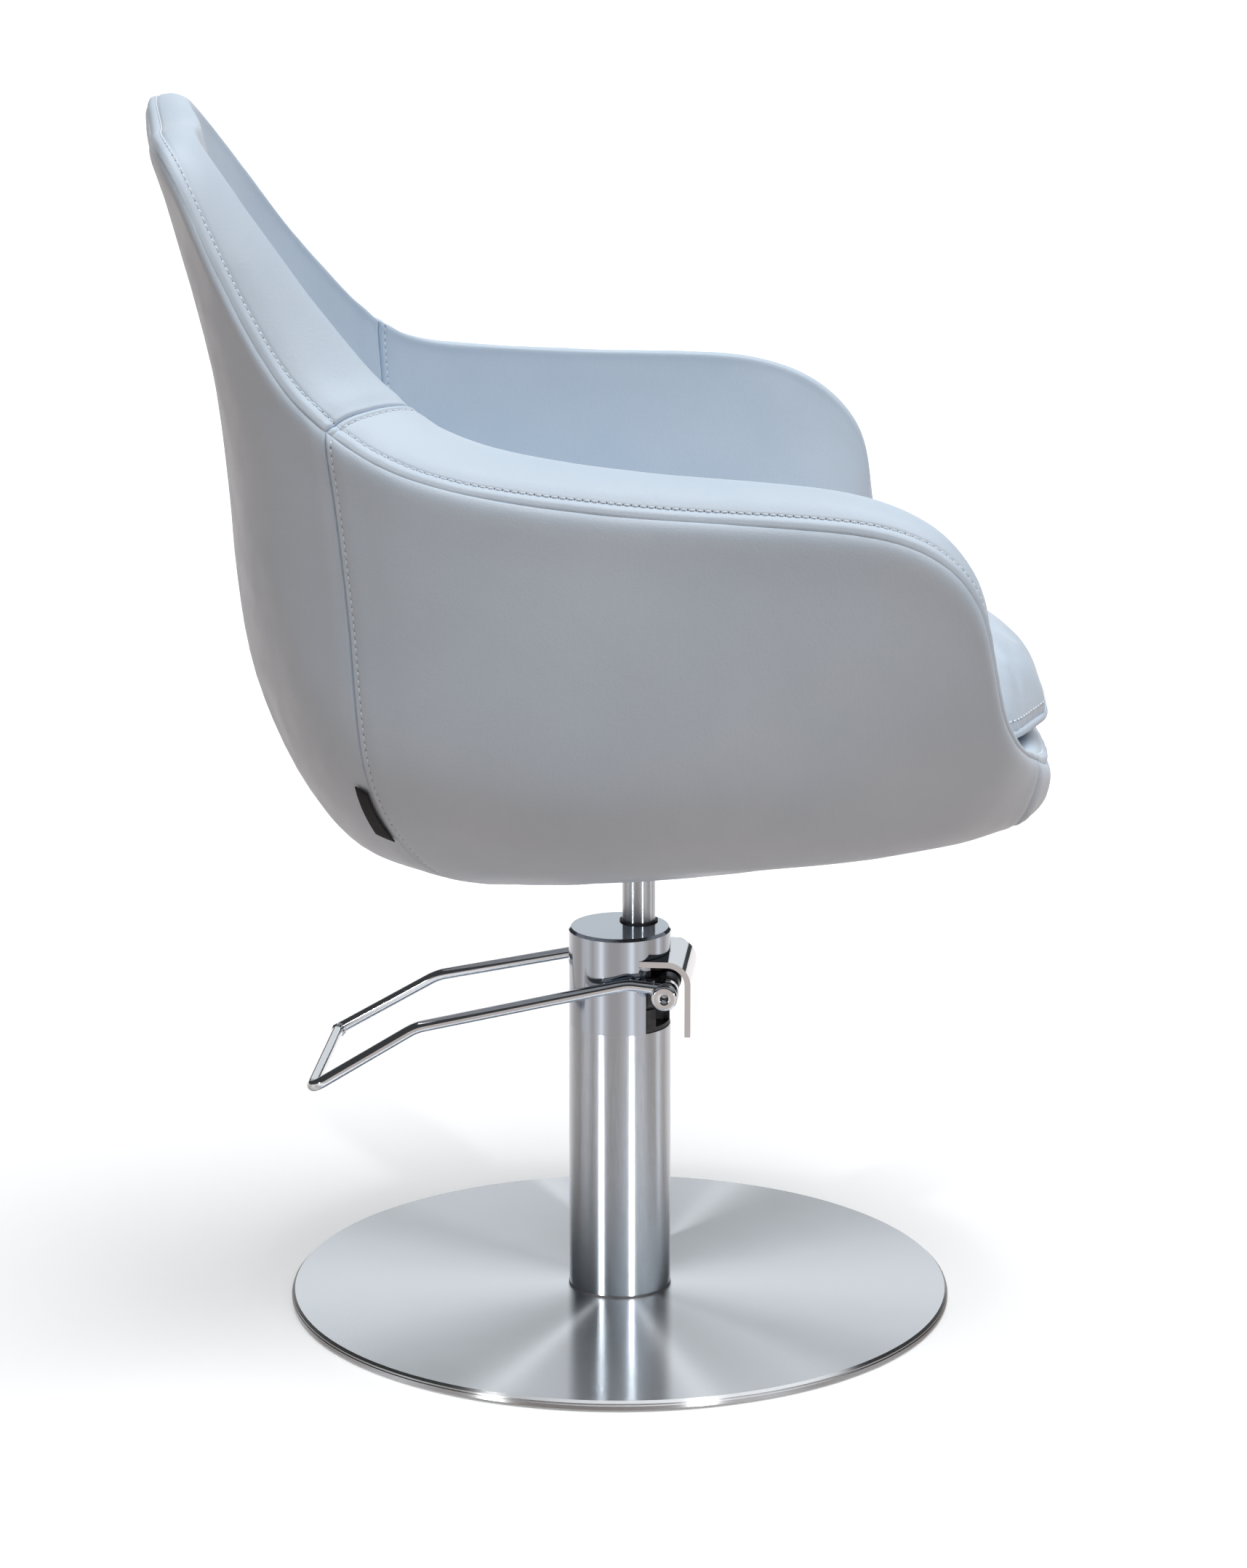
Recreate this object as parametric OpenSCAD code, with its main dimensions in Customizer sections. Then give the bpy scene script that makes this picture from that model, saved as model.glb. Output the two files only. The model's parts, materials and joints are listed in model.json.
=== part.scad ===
// Styling chair: bucket seat on a hydraulic pump column with a round base.
// +Z is up, the seat faces -Y, and the origin is the centre of the base disc on the floor.

/* [Base] */
// Diameter of the base disc
base_d = 560; // [480:5:600]
// Diameter of the column and of the pump head
column_d = 86; // [84:1:88]
// Height of the top of the pump head above the floor
head_top = 326; // [322:1:332]
// Height of the joint between the column tube and the head cover
head_joint = 242; // [236:1:244]

/* [Hydraulics] */
// Diameter of the chromed ram
ram_d = 28; // [26:1:29]
// Lift of the seat from fully down to fully up
stroke = 150; // [100:5:155]
// Direction of the pedal, measured from straight behind the seat
mech_yaw = -11; // [-20:1:20]

/* [Pedal] */
// Diameter of the pedal rod
rod_d = 10; // [8:1:10]
// Half width of the pedal loop at its end bar
loop_end_half = 84; // [76:1:90]
// Distance of the pedal's end bar behind the column axis
pedal_reach = 254; // [235:1:270]
// Height of the pedal's end bar above the floor
pedal_end_z = 197; // [185:1:210]

/* [Seat] */
// Half width of the seat shell at the arm seam
arm_half = 341; // [325:1:350]
// Height of the middle of the cushion
cushion_top = 610; // [602:1:616]
// Share of the wall thickness taken by the outer padding
outer_share = 0.30; // [0.2:0.01:0.35]
// Share of the wall thickness at which the moulded core ends
core_share = 0.48; // [0.42:0.01:0.55]

/* [Hidden] */
$fn = 64;
gap = 0.05;             // radial clearance of every running fit
slack = 0.4;            // clearance between loose neighbours
through = 1;            // extra length of a cutter past the face it leaves

// base stack, heights of the faces
foot_h = 1.5;
plate_top = 7;
cover_top = 9;
base_r = base_d / 2;
skirt_t = 2.5;
column_r = column_d / 2;
tube_t = 2.5;
tube_ri = column_r - tube_t;
flange_top = 17;
gasket_h = 2;
bolt_pcd_r = 31;

// pump, in the mechanism's own frame that mech_yaw turns
ram_r = ram_d / 2;
ram_mx = 17.5;
ram_my = -14.5;
ram_x = ram_mx * cos(mech_yaw) - ram_my * sin(mech_yaw);
ram_y = ram_mx * sin(mech_yaw) + ram_my * cos(mech_yaw);
cyl_ri = 15.6;
cyl_ro = 17;
body_bottom = 205;
body_r = tube_ri - 1.5;
body_top = head_top - 4;
cap_t = 3;
bush_r = ram_r + 1.5;
ram_clear = 0.4;
piston_z = 24;
piston_h = 20;

// pedal mechanism
pivot_y = -42;
pivot_z = 280;
shaft_r = 6;
pivot_bush_r = 7.5;
hub_r = 11;
lug_r = 10;
lug_root = -14;
lugs_x = [[-33, -27], [-3, 3], [30, 36]];
rocker_x = -15;
rocker_w = 11;
near_hub_x = [-53, -35];
far_hub_x = [62, 86];
loop_mid = 16;
knuckle = 0.4;          // how far a bend stands proud of the rod
loop_head_half = 62.5;
loop_bend_half = 76;
loop_pts = [[loop_head_half, pivot_y, pivot_z + 5], [loop_head_half + 3.5, -11, 289.5],
    [loop_bend_half, 166, 250.5], [loop_end_half, pedal_reach, pedal_end_z]];
plunger_y = -20;
plunger_r = 5;
plunger_top = 271.8;
pocket_floor = 246;
flange_z = 260;
shelf_top = 262;
shroud_half = 38;
shroud_t = 5;
shroud_top = 306;
shroud_front = -62.5;
shroud_bottom = 241;
shroud_bend = 20;

// seat stack, heights of the faces
board_top = 450;
board_t = 18;
mount_t = 6;
deck_top = 502;
cavity_r = 108;
underside_z = 410;
hub_bottom = 404;
mount_bolt_off = 60;

// seat shell: stations from the back centre round the right side to the front centre, [x, y, z]
arm_k = arm_half / 341;
seam_pts = [[0, 377, 994], [90, 379, 1001], [150, 375, 1001], [182, 361, 978], [203, 335, 918],
    [222, 293, 838], [245, 253, 797], [275, 199, 767], [300, 121, 750], [320, 16, 739],
    [335, -88, 733], [341, -168, 724], [341, -217, 702], [336, -246, 666], [327, -259, 617],
    [312, -270, 572], [283, -288, 540], [215, -314, 513], [120, -342, 484], [0, -354, 478]];
ridge_pts = [[0, 337, 1002], [74, 343, 1008], [122, 341, 1005], [150, 322, 979], [166, 287, 928],
    [182, 238, 863], [200, 184, 805], [226, 137, 783], [250, 84, 774], [270, 11, 765],
    [289, -90, 758], [297, -165, 748], [300, -222, 717], [298, -253, 669], [291, -255, 614],
    [278, -262, 566], [253, -278, 530], [198, -298, 508], [112, -320, 500], [0, -330, 499]];
last = len(seam_pts) - 1;
loop_n = 2 * last;
corner_st = 6;          // station of the seam between the back and an arm
front_st = 17;          // station of the seam between an arm and the front
rim_depth = 14;
crown = 7;
// superellipse plans, [half width, reach to the rear, reach to the front]
belly_plan = [330, 307, 348];
turn_plan = [287, 252, 338];
under_plan = [220, 187, 283];
floor_plan = [140, 117, 190];
inner_plan = [246, 232, 318];
core_plan = [240, 222, 300];
board_plan = [226, 210, 236];
plan_n = 2.7;
belly_drop = 0.774;
side_bulge = 9;
back_hollow = 24;
under_z = [425.3, 0.075];  // height on the column axis and fall towards the rear
floor_z = [399.6, 0.039];

// --- general shapes -------------------------------------------------------------------

module mech() {
    rotate([0, 0, mech_yaw]) children();
}

module at_ram() {
    translate([ram_x, ram_y, 0]) children();
}

module along_x(x0, x1, y, z) {
    translate([x0, y, z]) rotate([90, 0, 90]) linear_extrude(x1 - x0) children();
}

module ring(z, h, ro, ri) {
    translate([0, 0, z]) difference() {
        cylinder(h = h, r = ro);
        translate([0, 0, -through]) cylinder(h = h + 2 * through, r = ri);
    }
}

module disc(z, h, r) {
    translate([0, 0, z]) cylinder(h = h, r = r);
}

module rod(p, q, d) {
    v = q - p;
    len_v = norm(v);
    translate(p) rotate([0, acos(v[2] / len_v), atan2(v[1], v[0])]) cylinder(h = len_v, d = d);
}

// --- base ----------------------------------------------------------------------------

module floor_pad() {
    color("#26272a") disc(0, foot_h, base_r - 12);
}

module base_plate() {
    color("#4a4d52") difference() {
        disc(foot_h, plate_top - foot_h, base_r - skirt_t - 0.3);
        for (a = [45:90:315])
            rotate([0, 0, a]) translate([bolt_pcd_r, 0, 0]) {
                cylinder(h = 20, r = 4);
                cylinder(h = foot_h + 3.4, r = 7);
            }
    }
}

module base_cover() {
    color("#c9ccd0") rotate_extrude($fn = 180)
        polygon([[column_r - 1.7, plate_top], [base_r - skirt_t, plate_top],
            [base_r - skirt_t, foot_h], [base_r - 0.8, foot_h], [base_r, foot_h + 1],
            [base_r, plate_top - 2], [base_r - 0.6, plate_top - 1.2], [base_r - 0.6, plate_top],
            [base_r - 2.6, cover_top], [column_r - 1.7, cover_top]]);
}

module base_bolts() {
    color("#3b3d40") for (a = [45:90:315])
        rotate([0, 0, a]) translate([bolt_pcd_r, 0, foot_h + 0.2]) {
            cylinder(h = 3.1, r = 6.5);
            cylinder(h = flange_top - foot_h - 2, r = 3.9);
        }
}

module column_flange() {
    color("#55585d") difference() {
        disc(plate_top, flange_top - plate_top, tube_ri - 0.2);
        for (a = [45:90:315])
            rotate([0, 0, a]) translate([bolt_pcd_r, 0, 0]) cylinder(h = 30, r = 4);
    }
}

module column_gasket() {
    color("#202124") ring(cover_top, gasket_h, column_r + 0.4, tube_ri);
}

module column_tube() {
    color("#c4c8cd") ring(cover_top + gasket_h, head_joint - cover_top - gasket_h, column_r, tube_ri);
}

// --- pump ----------------------------------------------------------------------------

module pump_cylinder() {
    color("#7b7f85") at_ram() difference() {
        disc(flange_top, body_bottom - flange_top, cyl_ro);
        disc(flange_top + 4, body_bottom, cyl_ri);
    }
}

module lug_plates() {
    for (x = lugs_x)
        along_x(x[0], x[1], 0, 0) polygon([[pivot_y - 3, pivot_z - lug_r + 1], [lug_root, shelf_top - 2],
            [lug_root, pivot_z + lug_r], [pivot_y, pivot_z + lug_r]]);
    for (x = lugs_x)
        along_x(x[0], x[1], pivot_y, pivot_z) circle(r = lug_r);
}

module pump_body() {
    color("#2e3034") difference() {
        union() {
            disc(body_bottom, body_top - body_bottom, body_r);
            mech() difference() {
                disc(head_joint + 0.5, shelf_top - head_joint - 0.5, column_r - 0.8);
                translate([-60, -25.4, 0]) cube([120, 120, 400]);
            }
            mech() lug_plates();
        }
        mech() {
            translate([ram_mx, ram_my, 0]) cylinder(h = 400, r = ram_r + ram_clear);
            translate([ram_mx, ram_my, head_top - 36]) cylinder(h = 60, r = bush_r);
            front_cut();
            shroud_slot();
            translate([rocker_x - 11.6, -60, pocket_floor]) cube([23.2, 52, 54]);
            translate([rocker_x, plunger_y, 213]) cylinder(h = 60, r = plunger_r + gap);
            for (x = lugs_x)
                along_x(x[0] - through, x[1] + through, pivot_y, pivot_z) circle(r = pivot_bush_r);
        }
    }
}

// clears the front of the pump body above its shelf, but leaves the lugs
module front_cut() {
    xs = [-60, lugs_x[0][0], lugs_x[0][1], lugs_x[1][0], lugs_x[1][1], lugs_x[2][0], lugs_x[2][1], 60];
    for (n = [0:2:6])
        translate([xs[n], -70, shelf_top]) cube([xs[n + 1] - xs[n], 70 - 33.5, 60 - (shelf_top - 240)]);
}

// slot for the tongue of the shroud, round the ram's own boss
module shroud_slot() {
    difference() {
        translate([-shroud_half - slack, -70, shroud_top - shroud_t - slack])
            cube([2 * (shroud_half + slack), 59, shroud_t + 2 * slack]);
        translate([ram_mx, ram_my, 290]) cylinder(h = 40, r = 18.5);
    }
}

module head_cover() {
    color("#dfe3e8") difference() {
        union() {
            disc(head_joint, head_top - head_joint - 2.5, column_r);
            translate([0, 0, head_top - 2.5]) cylinder(h = 2.5, r1 = column_r, r2 = column_r - 2);
        }
        disc(head_joint - through, head_top - cap_t - head_joint + through, body_r + 0.6);
        mech() {
            translate([ram_mx, ram_my, head_top - 10]) cylinder(h = 20, r = ram_r + 2.2);
            translate([-60, -80, head_joint - through]) cube([120, 55, 56]);
            for (x = lugs_x)
                translate([x[0] - slack, -30, shelf_top - 3]) cube([x[1] - x[0] + 2 * slack, 17, 38]);
            translate([-shroud_half - slack, -70, shroud_top - shroud_t - slack])
                cube([2 * (shroud_half + slack), 59, shroud_t + 2 * slack]);
        }
    }
}

module shroud_profile() {
    difference() {
        union() {
            translate([shroud_front + shroud_bend, shroud_top - shroud_bend]) circle(r = shroud_bend);
            translate([shroud_front, shroud_bottom])
                square([shroud_t, shroud_top - shroud_bend - shroud_bottom]);
            translate([shroud_front + shroud_bend, shroud_top - shroud_t])
                square([-12 - shroud_front - shroud_bend, shroud_t]);
        }
        translate([shroud_front + shroud_bend, shroud_top - shroud_bend]) circle(r = shroud_bend - shroud_t);
        translate([shroud_front + shroud_t, shroud_bottom - through])
            square([60, shroud_top - shroud_bend - shroud_bottom + through]);
        translate([shroud_front + shroud_bend, shroud_top - shroud_bend - through])
            square([60, shroud_bend - shroud_t + through]);
    }
}

module lever_shroud() {
    color("#dfe3e8") mech() difference() {
        along_x(-shroud_half, shroud_half, 0, 0) shroud_profile();
        translate([ram_mx, ram_my, 290]) cylinder(h = 40, r = 19);
        translate([ram_mx, -21, 290]) cube([40, 40, 40]);
        for (x = [-26, -8])
            translate([x, -22, 290]) cylinder(h = 40, r = 2.1);
    }
}

module shroud_screws() {
    color("#3b3d40") mech() for (x = [-26, -8])
        translate([x, -22, shroud_top - shroud_t - slack]) cylinder(h = shroud_t + 2 * slack, r = 2);
}

module ram_wiper() {
    color("#17181a") at_ram() ring(body_top + slack / 2, head_top + 1 - body_top, ram_r + 2.1, ram_r + gap);
}

module guide_bush() {
    color("#b08d57") at_ram() ring(head_top - 36, body_top - head_top + 36, bush_r, ram_r + gap);
}

module pivot_bushes() {
    color("#b08d57") mech() for (x = lugs_x)
        along_x(x[0], x[1], pivot_y, pivot_z) difference() {
            circle(r = pivot_bush_r);
            circle(r = shaft_r + gap);
        }
}

// --- piston --------------------------------------------------------------------------

module piston_head() {
    color("#8d9197") at_ram() difference() {
        disc(piston_z, piston_h, cyl_ri - gap);
        disc(piston_z + 6, piston_h, ram_r - 4 + gap);
        ring(piston_z + 12, 3, cyl_ri + through, cyl_ri - 2);
        ring(piston_z + 2, 2.4, cyl_ri + through, cyl_ri - 1.6);
    }
}

module piston_seal() {
    color("#1c1d1f") at_ram() ring(piston_z + 12, 3, cyl_ri - gap, cyl_ri - 2);
}

module retaining_ring() {
    color("#6d7076") at_ram() ring(piston_z + 2, 2.4, cyl_ri - gap, cyl_ri - 1.6);
}

module thrust_washer() {
    color("#b08d57") at_ram() ring(piston_z + piston_h, 1.5, cyl_ri - 0.6, ram_r - 4 + gap);
}

// --- pedal ---------------------------------------------------------------------------

function mirror_x(p, s) = [loop_mid + s * p[0], p[1], p[2]];

module pedal_loop() {
    $fn = 32;
    color("#d5d9de") mech() difference() {
        union() {
            for (s = [-1, 1]) {
                for (n = [0:2])
                    rod(mirror_x(loop_pts[n], s), mirror_x(loop_pts[n + 1], s), rod_d);
                for (n = [0:3])
                    translate(mirror_x(loop_pts[n], s)) sphere(r = rod_d / 2 + knuckle);
            }
            rod(mirror_x(loop_pts[3], -1), mirror_x(loop_pts[3], 1), rod_d);
            for (x = [near_hub_x, far_hub_x])
                along_x(x[0], x[1], pivot_y, pivot_z) circle(r = hub_r);
        }
        along_x(near_hub_x[0] - through, far_hub_x[1] + through, pivot_y, pivot_z) circle(r = shaft_r);
    }
}

module pivot_shaft() {
    color("#8d9197") mech() along_x(near_hub_x[0], far_hub_x[1], pivot_y, pivot_z) circle(r = shaft_r);
}

module pivot_caps() {
    color("#d5d9de") mech() for (e = [[near_hub_x[0], -1], [far_hub_x[1], 1]])
        translate([e[0], pivot_y, pivot_z]) rotate([0, 90 * e[1], 0]) difference() {
            union() {
                cylinder(h = 3, r = hub_r);
                translate([0, 0, 3]) cylinder(h = 1.5, r1 = hub_r, r2 = hub_r - 1.5);
            }
            translate([0, 0, 1.5]) cylinder(h = 5, r = 3.2);
        }
}

module rocker() {
    color("#8d9197") mech() along_x(rocker_x - rocker_w / 2, rocker_x + rocker_w / 2, 0, 0) difference() {
        union() {
            translate([pivot_y, pivot_z]) circle(r = 9.5);
            translate([pivot_y, plunger_top + 0.2]) square([28, 12]);
        }
        translate([pivot_y, pivot_z]) circle(r = shaft_r);
        translate([pivot_y, pivot_z + shaft_r - 1]) square([2, 6], center = true);
    }
}

module rocker_key() {
    color("#55585d") mech()
        along_x(rocker_x - rocker_w / 2, rocker_x + rocker_w / 2, 0, 0)
            translate([pivot_y - 1, pivot_z + shaft_r]) square([2, 2]);
}

// --- plunger -------------------------------------------------------------------------

module plunger() {
    color("#8d9197") mech() translate([rocker_x, plunger_y, 0]) {
        difference() {
            disc(224, flange_z - 224, plunger_r);
            ring(228, 2.5, plunger_r + through, plunger_r - 1.2);
        }
        disc(flange_z, 3, 8.5);
        disc(flange_z + 3, plunger_top - flange_z - 3, 3.4);
    }
}

module plunger_seal() {
    color("#1c1d1f") mech() translate([rocker_x, plunger_y, 0]) ring(228, 2.5, plunger_r, plunger_r - 1.2);
}

// a coil swept by a small six-sided section
spring_turns = 3;
spring_steps = 14;
spring_wire = 0.8;
spring_r = 6.9;
spring_lo = pocket_floor + spring_wire + 0.2;
spring_hi = flange_z - spring_wire - 0.2;
spring_sides = 6;
spring_n = spring_turns * spring_steps;
spring_pts = [for (s = [0:spring_n], c = [0:spring_sides - 1])
    let (a = 360 * s / spring_steps, b = 360 * c / spring_sides, rr = spring_r + spring_wire * cos(b))
    [rr * cos(a), rr * sin(a), spring_lo + (spring_hi - spring_lo) * s / spring_n + spring_wire * sin(b)]];
spring_faces = concat(
    [for (s = [0:spring_n - 1], c = [0:spring_sides - 1])
        let (m = spring_sides, d = (c + 1) % m) [s * m + c, (s + 1) * m + c, (s + 1) * m + d]],
    [for (s = [0:spring_n - 1], c = [0:spring_sides - 1])
        let (m = spring_sides, d = (c + 1) % m) [s * m + c, (s + 1) * m + d, s * m + d]],
    [[for (c = [0:spring_sides - 1]) c]],
    [[for (c = [spring_sides - 1:-1:0]) spring_n * spring_sides + c]]);

module plunger_spring() {
    color("#9a9da2") mech() translate([rocker_x, plunger_y, 0])
        polyhedron(points = spring_pts, faces = spring_faces, convexity = 6);
}

// --- seat mounting -------------------------------------------------------------------

module ram() {
    color("#e3e7ec") at_ram() {
        disc(piston_z + piston_h + 1.6, 420 - piston_z - piston_h - 1.6, ram_r);
        disc(piston_z + 6.2, piston_h - 4.6, ram_r - 4);
    }
}

module ram_hub() {
    color("#3b3d40") at_ram() difference() {
        disc(hub_bottom, board_top - board_t - mount_t - hub_bottom, 24);
        disc(hub_bottom - through, 420 - hub_bottom + through, ram_r);
    }
}

module mount_plate() {
    z = board_top - board_t - mount_t;
    color("#3b3d40") at_ram() difference() {
        translate([-75, -75, z]) cube([150, 150, mount_t]);
        for (x = [-mount_bolt_off, mount_bolt_off], y = [-mount_bolt_off, mount_bolt_off])
            translate([x, y, z - through]) cylinder(h = mount_t + 2 * through, r = 4.2);
    }
}

module mount_bolts() {
    z = board_top - board_t - mount_t - 5;
    color("#55585d") at_ram()
        for (x = [-mount_bolt_off, mount_bolt_off], y = [-mount_bolt_off, mount_bolt_off])
            translate([x, y, z]) {
                cylinder(h = 5, r = 7, $fn = 6);
                cylinder(h = 24, r = 4);
            }
}

module t_nuts() {
    color("#8d9197") at_ram()
        for (x = [-mount_bolt_off, mount_bolt_off], y = [-mount_bolt_off, mount_bolt_off])
            translate([x, y, board_top - 14]) difference() {
                union() {
                    cylinder(h = 12, r = 5.5);
                    translate([0, 0, 12]) cylinder(h = 2, r = 10);
                }
                translate([0, 0, -through]) cylinder(h = 20, r = 4);
            }
}

// --- seat shell surfaces -------------------------------------------------------------

// shell station i runs right round the seat: the right side, then the left side mirrored
function half_st(i) = let (m = (i % loop_n + loop_n) % loop_n) m <= last ? m : loop_n - m;
function side_of(i) = let (m = (i % loop_n + loop_n) % loop_n) m <= last ? -1 : 1;
function place(p, i) = [ram_x + side_of(i) * p[0] * arm_k, p[1], p[2]];

// point of a superellipse plan in the same direction as p
function plan_pt(p, plan, z) =
    let (ex = plan_n / 2, rear = p[1] >= 0, b = rear ? plan[1] : plan[2],
        u = pow(abs(p[0]) / belly_plan[0], ex), v = pow(abs(p[1]) / (rear ? 370 : 352), ex),
        a = atan2(u, v))
    [plan[0] * pow(sin(a), 1 / ex), (rear ? 1 : -1) * b * pow(cos(a), 1 / ex), z];

function level(p, plan, fall) = let (q = plan_pt(p, plan, 0)) [q[0], q[1], fall[0] - fall[1] * q[1]];
function mix(a, b, t) = a + (b - a) * t;
function unit(v) = v / max(norm(v), 0.001);

// outer surface, levels: 0 seam, 1 under the rim, 2 middle, 3 belly, 4 board plane, 5 turn, 6 floor
function outer_half(k, j) =
    let (s = seam_pts[k], l2 = plan_pt(s, turn_plan, board_top),
        l1 = plan_pt(s, belly_plan, s[2] - belly_drop * (s[2] - board_top)),
        out = unit([l1[0], l1[1], 0]), rear = max(0, out[1]),
        mid = mix(s, l1, 0.5) + out * (side_bulge - back_hollow * rear * rear)
            * min(1, (s[2] - board_top) / 200))
    j == 0 ? s :
    j == 1 ? s + unit(mid - s) * rim_depth :
    j == 2 ? mid :
    j == 3 ? l1 :
    j == 4 ? l2 :
    j == 5 ? level(s, under_plan, under_z) : level(s, floor_plan, floor_z);

// inner surface at the same levels down to the board plane
function inner_half(k, j) =
    let (r = ridge_pts[k], f = plan_pt(seam_pts[k], inner_plan, deck_top),
        b = plan_pt(seam_pts[k], core_plan, board_top), m = mix(r, f, 0.55) - unit([f[0], f[1], 0]) * 5)
    j == 0 ? r :
    j == 1 ? r + unit(m - r) * rim_depth :
    j == 2 ? m :
    j == 3 ? f : b;

function wall_pt(i, j, t) =
    place(mix(outer_half(half_st(i), j), inner_half(half_st(i), j), t), i);

// closed block between stations i0..i1, levels j0..j1 and depths t0..t1 of the wall
module wall_block(i0, i1, j0, j1, t0, t1) {
    nj = j1 - j0 + 1;
    ni = i1 - i0 + 1;
    side = ni * nj;
    pts = [for (t = [t0, t1], i = [i0:i1], j = [j0:j1]) wall_pt(i, j, t)];
    function at(t, i, j) = t * side + i * nj + j;
    faces = concat(
        [for (i = [0:ni - 2], j = [0:nj - 2]) [at(0, i, j), at(0, i + 1, j + 1), at(0, i, j + 1)]],
        [for (i = [0:ni - 2], j = [0:nj - 2]) [at(0, i, j), at(0, i + 1, j), at(0, i + 1, j + 1)]],
        [for (i = [0:ni - 2], j = [0:nj - 2]) [at(1, i, j), at(1, i, j + 1), at(1, i + 1, j + 1)]],
        [for (i = [0:ni - 2], j = [0:nj - 2]) [at(1, i, j), at(1, i + 1, j + 1), at(1, i + 1, j)]],
        [for (i = [0:ni - 2], e = [0, 1]) e == 0 ? [at(0, i, 0), at(1, i + 1, 0), at(0, i + 1, 0)]
            : [at(0, i, 0), at(1, i, 0), at(1, i + 1, 0)]],
        [for (i = [0:ni - 2], e = [0, 1]) e == 0 ? [at(0, i, nj - 1), at(0, i + 1, nj - 1), at(1, i + 1, nj - 1)]
            : [at(0, i, nj - 1), at(1, i + 1, nj - 1), at(1, i, nj - 1)]],
        [for (j = [0:nj - 2], e = [0, 1]) e == 0 ? [at(0, 0, j), at(0, 0, j + 1), at(1, 0, j + 1)]
            : [at(0, 0, j), at(1, 0, j + 1), at(1, 0, j)]],
        [for (j = [0:nj - 2], e = [0, 1]) e == 0 ? [at(0, ni - 1, j), at(1, ni - 1, j + 1), at(0, ni - 1, j + 1)]
            : [at(0, ni - 1, j), at(1, ni - 1, j), at(1, ni - 1, j + 1)]]);
    polyhedron(points = pts, faces = faces, convexity = 6);
}

// padded roll over the edge of the wall: a crowned block on levels 0 and 1
module rim_block(i0, i1) {
    ts = [0, 0.25, 0.5, 0.75, 1];
    nt = len(ts);
    row = nt + 4;
    n = i1 - i0;
    pts = [for (i = [i0:i1]) each concat(
        [for (t = ts) wall_pt(i, 0, t) + rim_up(i) * crown * 4 * t * (1 - t)],
        [for (t = [1, core_share, outer_share, 0]) wall_pt(i, 1, t)])];
    faces = concat(
        [for (i = [0:n - 1], c = [0:row - 1]) let (d = (c + 1) % row, m = c < nt ? d : c)
            [i * row + c, (i + 1) * row + m, i * row + d]],
        [for (i = [0:n - 1], c = [0:row - 1]) let (d = (c + 1) % row, m = c < nt ? c : d)
            [i * row + m, (i + 1) * row + c, (i + 1) * row + d]],
        [for (c = [1:row - 2]) [0, c, c + 1]],
        [for (c = [1:row - 2]) [n * row, n * row + c + 1, n * row + c]]);
    polyhedron(points = pts, faces = faces, convexity = 6);
}

// direction away from the wall at the rim of station i
function rim_up(i) = unit((wall_pt(i, 0, 0) + wall_pt(i, 0, 1) - wall_pt(i, 1, 0) - wall_pt(i, 1, 1)) / 2);

// --- seat shell pieces ---------------------------------------------------------------

module outer_back_panel() {
    color("#c5d3df") wall_block(-corner_st, corner_st, 1, 4, 0, outer_share);
}

module outer_right_panel() {
    color("#c5d3df") wall_block(corner_st, front_st, 1, 4, 0, outer_share);
}

module outer_left_panel() {
    color("#c5d3df") wall_block(loop_n - front_st, loop_n - corner_st, 1, 4, 0, outer_share);
}

module front_apron() {
    color("#c5d3df") wall_block(front_st, loop_n - front_st, 1, 4, 0, outer_share);
}

module inner_back_pad() {
    color("#bcd0dd") wall_block(-corner_st, corner_st, 1, 4, core_share, 1);
}

module right_arm_pad() {
    color("#bcd0dd") wall_block(corner_st, front_st, 1, 4, core_share, 1);
}

module left_arm_pad() {
    color("#bcd0dd") wall_block(loop_n - front_st, loop_n - corner_st, 1, 4, core_share, 1);
}

module front_pad() {
    color("#bcd0dd") wall_block(front_st, loop_n - front_st, 1, 4, core_share, 1);
}

module back_rim() {
    color("#d2dfe8") rim_block(-corner_st, corner_st);
}

module right_rim() {
    color("#d2dfe8") rim_block(corner_st, front_st);
}

module left_rim() {
    color("#d2dfe8") rim_block(loop_n - front_st, loop_n - corner_st);
}

module front_rim() {
    color("#d2dfe8") rim_block(front_st, loop_n - front_st);
}

// moulded bucket: one closed band between the two layers of padding
module tub_core() {
    nj = 4;
    side = loop_n * nj;
    pts = [for (t = [outer_share, core_share], i = [0:loop_n - 1], j = [1:nj]) wall_pt(i, j, t)];
    function at(t, i, j) = t * side + (i % loop_n) * nj + j;
    faces = concat(
        [for (i = [0:loop_n - 1], j = [0:nj - 2]) [at(0, i, j), at(0, i + 1, j + 1), at(0, i, j + 1)]],
        [for (i = [0:loop_n - 1], j = [0:nj - 2]) [at(0, i, j), at(0, i + 1, j), at(0, i + 1, j + 1)]],
        [for (i = [0:loop_n - 1], j = [0:nj - 2]) [at(1, i, j), at(1, i, j + 1), at(1, i + 1, j + 1)]],
        [for (i = [0:loop_n - 1], j = [0:nj - 2]) [at(1, i, j), at(1, i + 1, j + 1), at(1, i + 1, j)]],
        [for (i = [0:loop_n - 1]) [at(0, i, 0), at(1, i + 1, 0), at(0, i + 1, 0)]],
        [for (i = [0:loop_n - 1]) [at(0, i, 0), at(1, i, 0), at(1, i + 1, 0)]],
        [for (i = [0:loop_n - 1]) [at(0, i, nj - 1), at(0, i + 1, nj - 1), at(1, i + 1, nj - 1)]],
        [for (i = [0:loop_n - 1]) [at(0, i, nj - 1), at(1, i + 1, nj - 1), at(1, i, nj - 1)]]);
    color("#8a6f4e") polyhedron(points = pts, faces = faces, convexity = 8);
}

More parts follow.
